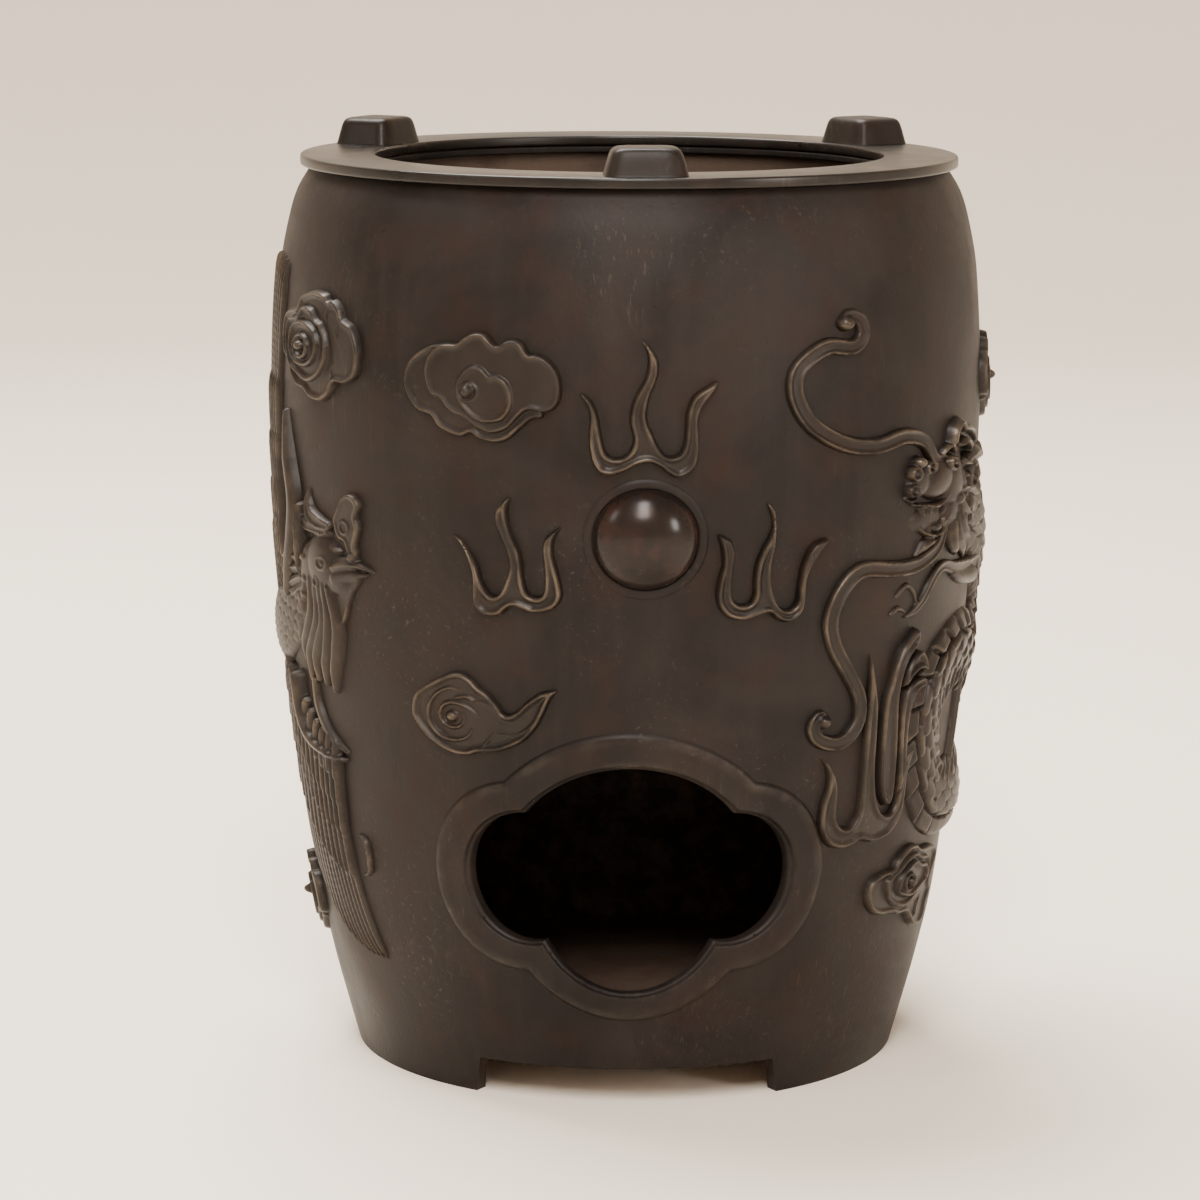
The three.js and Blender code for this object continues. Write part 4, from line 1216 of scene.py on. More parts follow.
@dataclass
class Clouds:
    """The seven clouds: four drawn from the front, three more that repeat the front cloud's drawing.

    Each repeat has the place of the drawing's middle, its stretch and its share of the height.
    """

    wall: Wall
    step: float = 0.25
    middle: Pair = (-36.2, 187.4)
    repeats: tuple[tuple[str, Pair, Pair, float], ...] = (
        ("cloud_right_high", (142, 181), (-0.74, 0.84), 1.0),
        ("cloud_left_low", (-131, 41), (0.7, 0.8), 1.0),
        ("cloud_back", (282.7, 168), (1.0, 0.98), 1.1),
    )

    @staticmethod
    def front() -> list[Mark]:
        """Cloud between the phoenix and the jewel: two lobed plates, a whorl and a knob."""
        lower = (
            (-57, 188), (-55.5, 193), (-51, 196.5), (-46, 198), (-42, 198), (-36, 196), (-28, 194),
            (-22, 190), (-20, 184), (-20, 180.6), (-22.5, 180), (-25.5, 177.5), (-28.5, 174.8),
            (-32, 173.8), (-36, 174.6), (-38, 175.8), (-40.5, 174.8), (-44, 175.5), (-47, 177),
            (-49, 179.5), (-52.5, 180.5), (-55.5, 183.5),
        )
        upper = (
            (-46, 197.8), (-42, 198.2), (-40.5, 199.5), (-37.5, 201), (-34.5, 200.8), (-32.2, 198.7),
            (-31, 198.3), (-29.5, 199.4), (-27, 199.8), (-25, 198.8), (-23.4, 196.4), (-21.5, 196.3),
            (-19, 195.3), (-16.5, 192.5), (-15.5, 188.5), (-16, 184.5), (-17.8, 182.4), (-20.5, 181.8),
            (-23.4, 182.2), (-25.6, 180.4), (-28.4, 177.4), (-32.5, 176.1), (-36, 177.2), (-39.5, 179.6),
            (-42, 180.3), (-44.5, 182), (-46, 184), (-48.5, 185), (-50, 187.5), (-50.6, 191), (-49.6, 195),
        )
        whorl = (
            (-33, 178.6), (-29.5, 179.4), (-27.4, 182), (-26.8, 185), (-28, 189), (-30.5, 190.9),
            (-32.7, 190.9), (-34.5, 192.6), (-37, 193.2), (-39.8, 191.7), (-41.6, 188.6), (-41.6, 185.5),
            (-40.2, 182.6), (-38, 180.3), (-35.5, 178.9),
        )
        return [
            Plate(lower, 1.6, 0.85, 0.6), Plate(upper, 2.3, 0.85, 0.76), Plate(whorl, 2.9, 0.8, 0.76),
            ringed((-38.2, 186.3), (3.1, 3.0), 2.9), Lump((-38.2, 186.6), (1.9, 2.3), 4.6),
        ]

    @staticmethod
    def left() -> list[Mark]:
        """Rose-like cloud above the phoenix."""
        outline = (
            (-110.5, 194), (-109.5, 199), (-106, 201.5), (-101, 202.5), (-98.5, 205.5), (-93, 207.3),
            (-87, 207), (-84.8, 205.3), (-82.5, 205.8), (-79.5, 203.8), (-78.3, 201.3), (-75, 199.8),
            (-72.5, 196.5), (-71.5, 192), (-72.8, 187), (-77, 184.8), (-81, 184.6), (-83, 181.5),
            (-87, 179.3), (-92, 179.5), (-95.5, 181.2), (-100, 182), (-103.5, 184.5), (-105.5, 187.8),
            (-109, 189.5),
        )
        lobe = (
            (-104.5, 199.5), (-106.5, 195.5), (-105.5, 190.5), (-103, 186.8), (-98.5, 185), (-92, 183.6),
            (-86.5, 186.2), (-83.6, 190.8), (-84.2, 195.8), (-86.5, 199.4), (-89, 200.4), (-92, 203),
            (-96.5, 203.2), (-99.5, 200.6),
        )
        petal = (
            (-101.5, 197.5), (-98.5, 199.4), (-93.5, 199.6), (-88.5, 197.6), (-86.8, 193.5), (-88.4, 189.8),
            (-92.5, 187.4), (-98.5, 187.8), (-102, 190.5), (-102.6, 194),
        )
        folds = (((-78, 201), (-80.6, 198), (-79.4, 193.6)), ((-83, 205), (-85.6, 202), (-84.6, 198.6)),
                 ((-82, 184.8), (-82.6, 188), (-80.4, 190.6)))
        return [
            Plate(outline, 2.1, 0.9, 0.55), Plate(lobe, 2.8, 0.9, 0.6), *rims(0.7, 2.1, *folds),
            Plate(petal, 3.4, 0.9, 0.65), ringed((-95.2, 192.8), (4.6, 3.9), 3.7),
            Lump((-95.4, 193), (2.1, 1.9), 4.6),
        ]

    @staticmethod
    def spiral() -> list[Mark]:
        """Cloud with a spiral and a trailing tail, above the port."""
        outline = (
            (-57.6, 103), (-56.6, 107.5), (-54, 110), (-50, 112.3), (-46, 114.3), (-42.5, 114.8),
            (-39.5, 113.5), (-37.5, 111.6), (-35, 110), (-32.5, 107.5), (-31, 105.4), (-29.5, 105),
            (-27.5, 106.2), (-24.5, 109), (-21, 111.2), (-17, 111.8), (-18.6, 109.5), (-20, 106.5),
            (-22, 102.5), (-25, 98.8), (-28.5, 96.5), (-33, 94.8), (-38, 94.2), (-41, 93.2), (-45, 93.2),
            (-49, 94.5), (-53, 96.8), (-56, 99.8),
        )
        coil = (
            (-42.2, 104), (-41.9, 102.2), (-43.3, 100.7), (-45.6, 100.4), (-47.8, 101.6), (-48.6, 103.8),
            (-47.3, 106), (-44.8, 106.8), (-42, 106.3), (-39.5, 105), (-37.8, 103.6),
        )
        outer = (
            (-43, 110.2), (-46.2, 110.3), (-49.4, 108.6), (-51.6, 105.6), (-52, 102), (-50.5, 99.2),
            (-47.6, 97.5), (-44.2, 97.1), (-41.2, 98.1), (-39.6, 100.2),
        )
        lines = (((-33.6, 100), (-36, 97), (-38.8, 94.8)), ((-38.4, 107.6), (-35.4, 107.2), (-33.2, 105)),
                 ((-33, 99.5), (-28.5, 99.6), (-25, 101.4), (-22.4, 104.4), (-20.4, 108)))
        return [
            Plate(outline, 1.9, 0.9, 0.4), *rims(0.85, 2.9, coil), *rims(0.9, 2.5, outer),
            *rims(0.6, 1.8, *lines), Lump((-45.2, 103.2), (1.9, 1.6), 2.4),
            Strand(((-44, 108), (-41, 108.6), (-39, 107.8)), (0.7,), (2.2,)),
        ]

    @staticmethod
    def right_low() -> list[Mark]:
        """Cloud below the dragon's flames."""
        outline = (
            (73, 51.5), (74.5, 55.5), (79, 57.2), (84, 57.6), (87, 60), (91.5, 62.2), (96, 62), (99, 60.4),
            (105, 60), (111, 58.6), (113, 55.5), (111, 52), (109.5, 49.5), (111.5, 46.5), (109.5, 43),
            (109.5, 39.6), (106.5, 37.3), (101, 38.4), (97.5, 41), (94.5, 43.2), (90, 43.6), (86, 44.7),
            (80, 45.3), (75.5, 47.5),
        )
        fold = (
            (80.5, 54.5), (81.2, 50.5), (83.8, 47.8), (88, 46), (92.5, 45.5), (97, 47), (100, 49.4),
            (105, 50.4), (106.4, 54), (104, 57.6), (99, 58.6), (95, 60.2), (90, 59.4), (86.6, 57.6),
            (83.2, 56.2),
        )
        whorl = (
            (89, 48.8), (86, 50.4), (86.6, 54.3), (90, 57), (94.5, 58.3), (98.5, 56.6), (102, 56),
            (104, 53.5), (103.3, 50.7), (99, 49.2), (94, 47.8),
        )
        return [
            Plate(outline, 2.0, 0.9, 0.6), Plate(fold, 2.6, 0.85, 0.6), Plate(whorl, 3.1, 0.85, 0.65),
            ringed((92.3, 52.3), (3.5, 3.0), 3.2), Lump((92.8, 52.3), (1.8, 1.7), 4.2),
            *rims(0.8, 2.4, ((105.5, 46.8), (102, 44.6), (101.4, 41.4), (104.4, 40.2))),
        ]

    def build(self) -> None:
        """Make all seven clouds."""
        drawings = {
            "cloud_front": self.front(), "cloud_left": self.left(), "cloud_spiral": self.spiral(),
            "cloud_right_low": self.right_low(),
        }
        for node, place, stretch, share in self.repeats:
            drawings[node] = moved(self.front(), self.middle, place, stretch, share)
        for node, marks in drawings.items():
            around_plates(self.wall, marks, self.step).add(*marks).piece(f"{node}_relief", node)


@dataclass
class Flame:
    """Three tongues on a two-lobed foot, cast as one plate with a rim along its edge."""

    wall: Wall
    node: str
    outline: Points
    thickness: float = 2.3
    rim: float = 0.9
    dish: float = 0.6
    step: float = 0.24

    def build(self) -> None:
        """Make the flame."""
        tongues = Plate(self.outline, self.thickness, self.rim, self.dish)
        area = around_plates(self.wall, [tongues], self.step)
        area.add(tongues).piece(f"{self.node}_relief", self.node)


FLAME_OUTLINES: dict[str, Points] = {
    "flame_top": (
        (-11.6, 186.8), (-9, 185.8), (-7.2, 182.5), (-6.3, 178), (-5.6, 174.5), (-4.8, 172.2), (-3, 171.2),
        (-1, 171.6), (0.6, 173.2), (1.2, 176), (0.4, 180), (0.8, 184), (2.2, 187.5), (3.8, 190.5),
        (4.6, 194), (4.4, 197), (3.0, 200.2), (5.2, 198.4), (7, 195.5), (7.3, 192.5), (6.6, 189.5),
        (5.4, 186.5), (4.6, 182.8), (4.8, 180), (6, 177), (7.2, 174.3), (8.6, 172.3), (10.5, 171.6),
        (12.3, 172.6), (13.2, 175.5), (13.4, 179), (13.8, 182.5), (15, 185.8), (17.5, 188), (21.4, 189.9),
        (20.2, 187), (18, 184), (16.8, 181), (16.9, 177), (17, 173), (16.2, 169), (14.3, 166.8), (12, 166),
        (9.6, 167), (7.4, 168.8), (5, 169.8), (2.2, 169.2), (-0.6, 167.6), (-3.8, 166.6), (-6.4, 167.2),
        (-8.2, 169.6), (-9, 173), (-9.2, 177), (-9, 181), (-9.6, 184),
    ),
    "flame_left": (
        (-44.6, 150.2), (-41.5, 149), (-39, 146), (-37, 143), (-36, 139.5), (-34.8, 137), (-33, 135.4),
        (-31.2, 136.2), (-29.8, 139), (-28.6, 143), (-29.2, 147), (-30.6, 150.5), (-31.9, 154),
        (-31.6, 157.5), (-28.4, 160.5), (-28.8, 157.5), (-28.6, 154.5), (-27.6, 151), (-26, 147.5),
        (-25.2, 144), (-25, 140.5), (-24.2, 137), (-22.6, 135.8), (-20.6, 136.2), (-19.9, 139),
        (-20, 143.5), (-20.4, 148), (-19.4, 151), (-15.8, 153.4), (-17.2, 150.5), (-17.6, 147),
        (-16.8, 143), (-15.8, 139), (-15.6, 135.8), (-17, 133.2), (-19.4, 131.9), (-22.8, 131.4),
        (-25.4, 132.2), (-27.6, 132.8), (-29.4, 131.9), (-31, 130.4), (-34, 129.9), (-36.8, 130.9),
        (-38.2, 133.5), (-38.2, 137), (-38.4, 141), (-40, 145.5), (-42, 148.4),
    ),
    "flame_right": (
        (21.8, 151.5), (25, 150.2), (26.2, 147), (25.8, 143), (25.6, 138.5), (25.9, 135.3), (27.6, 133.8),
        (29.8, 134), (31, 136), (31, 140), (31.6, 144), (33, 147.5), (34.8, 150.8), (35.6, 154),
        (34, 159.2), (36, 157), (36.6, 153), (36.4, 148), (35.6, 143.5), (35.7, 139), (36.9, 134.6),
        (38.8, 132.2), (41, 132), (42.6, 134), (43, 138), (43.6, 142), (45.2, 146), (47.4, 148.3),
        (51.2, 148.9), (48.8, 145.8), (46.6, 142.5), (45.2, 139), (45, 135), (44.6, 131.4), (42.6, 129),
        (40, 128.2), (37.4, 129.2), (35.2, 131), (32.4, 130.5), (28.6, 129.5), (25, 130.3), (22.6, 132.6),
        (21.6, 136), (22, 140), (22.9, 144), (22.6, 148),
    ),
}


@dataclass
class Dragon:
    """The dragon: head and mane, whiskers, body with its legs and tail, and the flames below.

    Its marks are drawn in bold heights, and relief_share brings those of the head, body and legs
    down to the low relief of the casting. head_shift sets the head along the wall.
    """

    wall: Wall
    head_shift: Pair = (1.2, 0)
    relief_share: float = 0.6
    body_path: Points = (
        (112, 148), (126, 142), (141, 131), (145, 118), (134, 109), (119, 112.6), (106, 111.5), (96, 105.5),
        (92, 96), (92.5, 88), (95.4, 80), (101, 73.4), (110, 70.2), (122, 69.4), (138, 68), (157, 71),
        (171, 82), (180, 99), (190, 118), (205, 131), (222, 132), (235, 122),
    )
    body_widths: tuple[float, ...] = (
        8, 9, 9.5, 9.5, 9.5, 9, 8.6, 8.5, 8.6, 8.6, 8.7, 8.8, 9, 9.4, 9.4, 9, 9, 8.5, 8, 7, 4.6, 1.5,
    )
    body_heights: tuple[float, ...] = (
        5, 6, 6.2, 6.2, 6, 5.6, 5.2, 5.2, 5.2, 5.2, 5.2, 5.4, 5.8, 6, 6, 6.2, 6.2, 6, 5.4, 5, 3.6, 1.5,
    )
    fin_start: float = 14.0
    fin_end: float = 16.0
    fin_pitch: float = 6.2
    fin_length: float = 4.6

    def whiskers(self) -> list[Mark]:
        """The two long whiskers: straps with a groove down the middle and hooked ends."""
        upper = (
            (93, 164.4), (88, 165.4), (83, 170.5), (75, 172.4), (65, 171), (55, 172.5), (46, 177.5),
            (41.5, 184), (41, 190), (44, 194), (50, 197), (57, 196.5), (60.5, 199), (60, 203),
            (56.5, 204.3), (54.5, 202.4),
        )
        lower = (
            (95, 148.5), (94.2, 144.6), (91.4, 141.4), (86, 139.3), (80, 138.2), (72, 138.6), (62, 139.5),
            (56, 135), (53, 128), (54.5, 121), (59, 114), (63.5, 107), (64.3, 101), (61.6, 96.8), (57, 95),
            (51.5, 96.7), (49.5, 100), (51.4, 102.8), (53.8, 101.2),
        )
        widths = (1.8, 2.3, 2.4, 2.4, 2.3, 2.3, 2.1, 1.6)
        heights = (2.8, 2.8, 2.5, 2.4, 2.4, 2.4, 2.3, 2.0)
        return [
            Strand(upper, widths, heights, Section.RIMMED), Strand(lower, widths, heights, Section.RIMMED),
            Lump((55.4, 202.6), (2.6, 2.2), 3.0), Lump((52.6, 101.2), (2.2, 2.0), 3.0),
        ]

    def head(self) -> list[Mark]:
        """Head in profile with open jaws: muzzle, brow, eye, lips, teeth, horns and ear."""
        masses = [
            Lump((89, 159.8), (8.2, 5.4), 5.2, 4), Lump((97, 158), (7, 8), 5.0),
            Lump((80.5, 160.5), (4.8, 5), 4.2), Lump((86, 149.8), (8, 3.8), 2.2),
            Lump((96.6, 150.6), (5, 5), 4.4), Lump((99.6, 153.6), (2.6, 2.3), 6.2),
            ringed((107.6, 158.4), (3.0, 4.2), 6.4, -20), Lump((88.6, 147.4), (3.2, 1.5), 4.4),
            ringed((94.2, 163.5), (2.7, 1.9), 6.4, -20), Lump((94.4, 163.5), (1.1, 1.0), 6.3),
            ringed((77.6, 162.6), (2.3, 2.0), 5.2), ringed((77, 158.2), (2.3, 1.9), 5.0),
            Lump((79.8, 165.2), (2.3, 1.8), 5.4), ringed((83.4, 163.6), (2.4, 1.8), 6.0),
        ]
        jaw = ((78.2, 154.4), (83, 153.7), (88, 153), (91.2, 153.6), (93.3, 155.2), (94, 157.4), (93, 159))
        chin = (
            (81.4, 148), (84.4, 146.2), (88.6, 145.3), (92.2, 146.4), (94.2, 149.2), (95.4, 152.6),
            (96.6, 155.4),
        )
        temple = (((96.8, 168.8), (98.8, 165), (99.2, 161.4), (100, 157.6)),
                  ((101, 163), (101.8, 159.6), (102, 156.2)))
        throat = (((91, 149.6), (92.6, 151.2), (93.4, 153.2)), ((93, 144.8), (89, 143.4), (86, 141.8)))
        lines = [
            *rims(1.0, 6.4, jaw),
            *rims(0.6, 6.0, ((81.4, 156.4), (86, 156.6), (89.6, 155.8), (92, 156.8))),
            *rims(1.0, 7.6, ((90.4, 165), (92.4, 167.2), (95, 167.8), (97, 166.2), (97.9, 163.2))),
            *rims(0.9, 7.0, *temple),
            *rims(0.8, 5.4, ((75.2, 156.2), (77.6, 155.4), (80.2, 157), (81.6, 159.8))),
            *rims(1.05, 5.2, chin), *rims(0.7, 4.6, *throat),
        ]
        tuft = Strand(
            ((88, 143.8), (84.6, 142.8), (81.2, 140.6)), (1.5, 2.0, 0.4), (3.4, 3.6, 1.4), Section.CREST,
        )
        teeth = [Strand(points, (0.8, 0.65, 0.25), (4.4, 4.0, 3.0)) for points in (
            ((82.4, 153.4), (82.8, 151.4), (84, 149.8)), ((85.8, 153), (86.1, 151.6), (86.4, 150.6)),
            ((88.8, 152.6), (89, 151), (89.2, 149.6)), ((85.6, 146.6), (85.8, 148), (85.4, 149.2)),
        )]
        long_horn = (
            (95, 168.6), (96.2, 171.8), (99.2, 173.4), (102.4, 171.6), (107, 170.8), (113, 168.6),
            (119, 165.4),
        )
        short_horn = ((99.6, 167.4), (102.6, 168.2), (106.6, 166.6), (109.6, 163))
        horns = [
            Strand(long_horn, (1.3, 1.5, 1.6, 1.5, 1.3, 1.0, 0.3), (6, 6, 5.8, 5.4, 5, 4, 2),
                   Section.CREST),
            Strand(short_horn, (1.2, 1.6, 1.5, 0.4), (6.4, 6.2, 5.4, 3), Section.CREST),
        ]
        return [*masses, *lines, tuft, *teeth, *horns]

    def mane(self) -> list[Mark]:
        """Locks that stream back from the cheek and jaw, each with a hollow flank."""
        locks = (
            ((99.6, 161), (101.4, 158), (103.6, 156), (104.4, 152.6)),
            ((102, 162.4), (107, 161.4), (112, 160.8), (114.6, 158.6), (113, 156)),
            ((103, 159), (108, 158.2), (113, 156.4), (119, 157.2), (124, 160)),
            ((103, 156), (109, 155), (115, 152.6), (121, 153.4), (127, 155.6)),
            ((101.6, 152.8), (105.4, 150), (110.4, 147.6), (116.4, 146.4), (122, 147.4)),
            ((100.4, 151.6), (103, 147.6), (106.8, 144), (111.4, 140.8), (115, 135.8)),
            ((99, 149.6), (100.4, 145.8), (103.6, 142.4), (107.6, 139.4), (111, 135.8)),
            ((98, 147.6), (98.6, 143.8), (101, 140.6), (104.2, 137.8)),
            ((106, 163), (113, 164), (119, 162), (126, 164.6)),
        )
        widths, heights = (1.9, 2.2, 2.1, 1.7, 0.4), (5.4, 5.6, 5.2, 4.2, 1.6)
        return [Strand(lock, widths, heights, Section.CREST, 0.3) for lock in locks]

    def legs(self) -> list[Mark]:
        """Foreleg that reaches forward below the jaw, and the hind leg, each with claws."""
        reach = (
            (128, 131), (118, 132.2), (110, 133.4), (104, 134.6), (98, 136), (94, 135.2), (90.6, 132.4),
            (87.4, 128.8), (83.6, 126.2), (78.4, 124.8),
        )
        foreleg = Strand(reach, (4.0, 3.4, 2.6, 2.0, 1.7, 1.6, 1.6, 1.5, 1.2, 0.3),
                         (4.4, 4.2, 4.0, 3.8, 3.4, 3.2, 3.0, 2.8, 2.2, 1.0), Section.RIMMED)
        blade = Strand(((103, 133.2), (108, 131.6), (114, 130.6), (122, 130)),
                       (0.8, 1.6, 2.2, 3.0), (3.0, 3.6, 4.2, 5.0))
        folds = rims(0.8, 1.3, ((75.6, 130.8), (79.4, 133.4), (82.4, 131.8), (84.6, 128.4)),
                     ((73.8, 126.4), (76.6, 127.8), (79.6, 126.6)))
        thigh = Strand(((166, 83), (161, 94), (153, 101), (147, 93)), (7.4, 6.4, 4.2, 3.0),
                       (6, 5.6, 4.8, 4.0), pattern=scales(4.6, 0.6))
        heel_u, heel_z = 147, 93
        claws = [
            Strand(((heel_u, heel_z), (heel_u + x * 0.6, heel_z + 1 + y * 0.6), (heel_u + x, heel_z + y)),
                   (1.7, 1.5, 0.3), (3.6, 3.2, 1.0), Section.CREST)
            for x, y in ((-9, 3), (-9, -4), (-3, -9), (5, -7))
        ]
        return [foreleg, blade, *folds, thigh, *claws]

    def fins(self) -> list[Strand]:
        """Pointed fins along the back, which lies left of the way along."""
        path = smooth_curve(self.body_path, 900)
        travelled = np.r_[0, np.cumsum(np.linalg.norm(np.diff(path, axis=0), axis=1))]
        way = np.gradient(path, axis=0)
        way = way / np.linalg.norm(way, axis=1)[:, None]
        found = []
        for s in np.arange(self.fin_start, travelled[-1] - self.fin_end, self.fin_pitch):
            i = np.searchsorted(travelled, s)
            half = np.interp(i / len(path), np.linspace(0, 1, len(self.body_widths)), self.body_widths)
            aside = np.array([-way[i, 1], way[i, 0]])
            root = path[i] + aside * half * 0.62
            knee = path[i] + aside * (half + 1.0) + way[i] * 2.0
            tip = path[i] + aside * (half + self.fin_length) + way[i] * 5.4
            points = (tuple(root), tuple(knee), tuple(tip))
            found.append(Strand(points, (2.9, 2.2, 0.3), (4.6, 3.6, 0.9), Section.CREST, 0.25))
        return found

    def body(self) -> list[Mark]:
        """The looping body with its skin, fins and the flame tuft of the tail."""
        tuft = [Strand(points, (3.4, 3.2, 2.4, 0.4), (3.6, 3.6, 3.0, 1), Section.RIMMED) for points in (
            ((231, 126), (238, 118), (245, 114), (252, 113)),
            ((231, 128), (238, 127), (246, 127), (254, 130)),
            ((230, 129), (236, 133), (241, 139), (245, 147)),
        )]
        trunk = Strand(self.body_path, self.body_widths, self.body_heights, Section.DOME,
                       pattern=dragon_skin(5.0, 1.25, 6.4))
        ridge = Strand((
            (116, 118), (121, 108), (120, 92), (117, 78), (121, 70),
        ), (2.2,), (3.2,), Section.CREST)
        return [*self.fins(), trunk, ridge, *tuft]

    @staticmethod
    def flames() -> list[Mark]:
        """Flames that lick up from below the near coil: rimmed plates that overlap."""
        front = (
            (51.3, 92.8), (54.6, 90.6), (56.9, 87.5), (58.3, 83.5), (58.4, 79.5), (58.6, 75.6), (60.2, 73),
            (62.6, 72.2), (65, 73.6), (66.2, 77), (66.4, 84), (66.5, 93), (66.6, 103), (66.9, 110),
            (67.4, 118), (68.6, 111), (70.3, 104), (70.8, 96), (71, 88), (72, 81), (73.6, 76.6), (76, 74),
            (79, 73.4), (81, 75.2), (82, 79), (82.6, 83.5), (84.2, 87.4), (88.8, 91.2), (86.8, 87),
            (85.4, 82.6), (85.2, 78), (84.8, 73.6), (82.8, 70), (79.6, 67.6), (76, 66.6), (72.8, 66.4),
            (70, 67.2), (67.4, 67.8), (64.6, 66.8), (61, 66.5), (57.4, 67.6), (54.6, 70.2), (53.2, 74),
            (53.4, 79), (54.8, 83.5), (54.9, 87), (53.8, 90),
        )
        middle = (
            (72.6, 103.5), (72.4, 93), (73, 84), (74.6, 78.4), (77, 75.6), (79, 77.4), (79.4, 82),
            (79.2, 90), (78.6, 98), (78.2, 104), (79.2, 110), (81.6, 114.4), (85.2, 117.6), (84.8, 121.8),
            (81, 119.6), (78, 117), (75.8, 113), (74.2, 108.5),
        )
        right = (
            (81.4, 78), (80, 88), (79.4, 96), (79.6, 102), (81.4, 106.4), (85, 108.4), (89.6, 108.2),
            (89.5, 105.6), (86, 104.6), (83.8, 101.6), (83, 96), (83.2, 90), (83.4, 84),
        )
        top = (
            (79.6, 106.5), (80.4, 111), (83, 114.4), (86.6, 115.8), (89.4, 113), (90.2, 109.4), (87, 110.4),
            (83.6, 109.4),
        )
        return [Plate(front, 2.2, 1.0, 0.62), Plate(middle, 2.5, 0.95, 0.66), Plate(right, 2.8, 0.85, 0.7),
                Plate(top, 2.9, 0.85, 0.6)]

    def build(self) -> None:
        """Make the patches, each between two corners (u, z), the near ones on a finer grid."""
        head = moved([*self.mane(), *self.head()], end=self.head_shift, share=self.relief_share)
        trunk = moved([*self.body(), *self.legs()], share=self.relief_share)
        for name, low, high, step, marks in (
            ("dragon_head", (72, 122), (132, 178), 0.27, head),
            ("dragon_whiskers", (36, 90), (100, 210), 0.3, self.whiskers()),
            ("dragon_flames", (48, 62), (94, 126), 0.26, self.flames()),
            ("dragon_body", (72, 54), (152, 160), 0.32, trunk),
            ("dragon_tail", (151.9, 54), (262, 156), 0.5, trunk),
        ):
            ReliefField(self.wall, low, high, step).add(*marks).piece(name, "dragon")


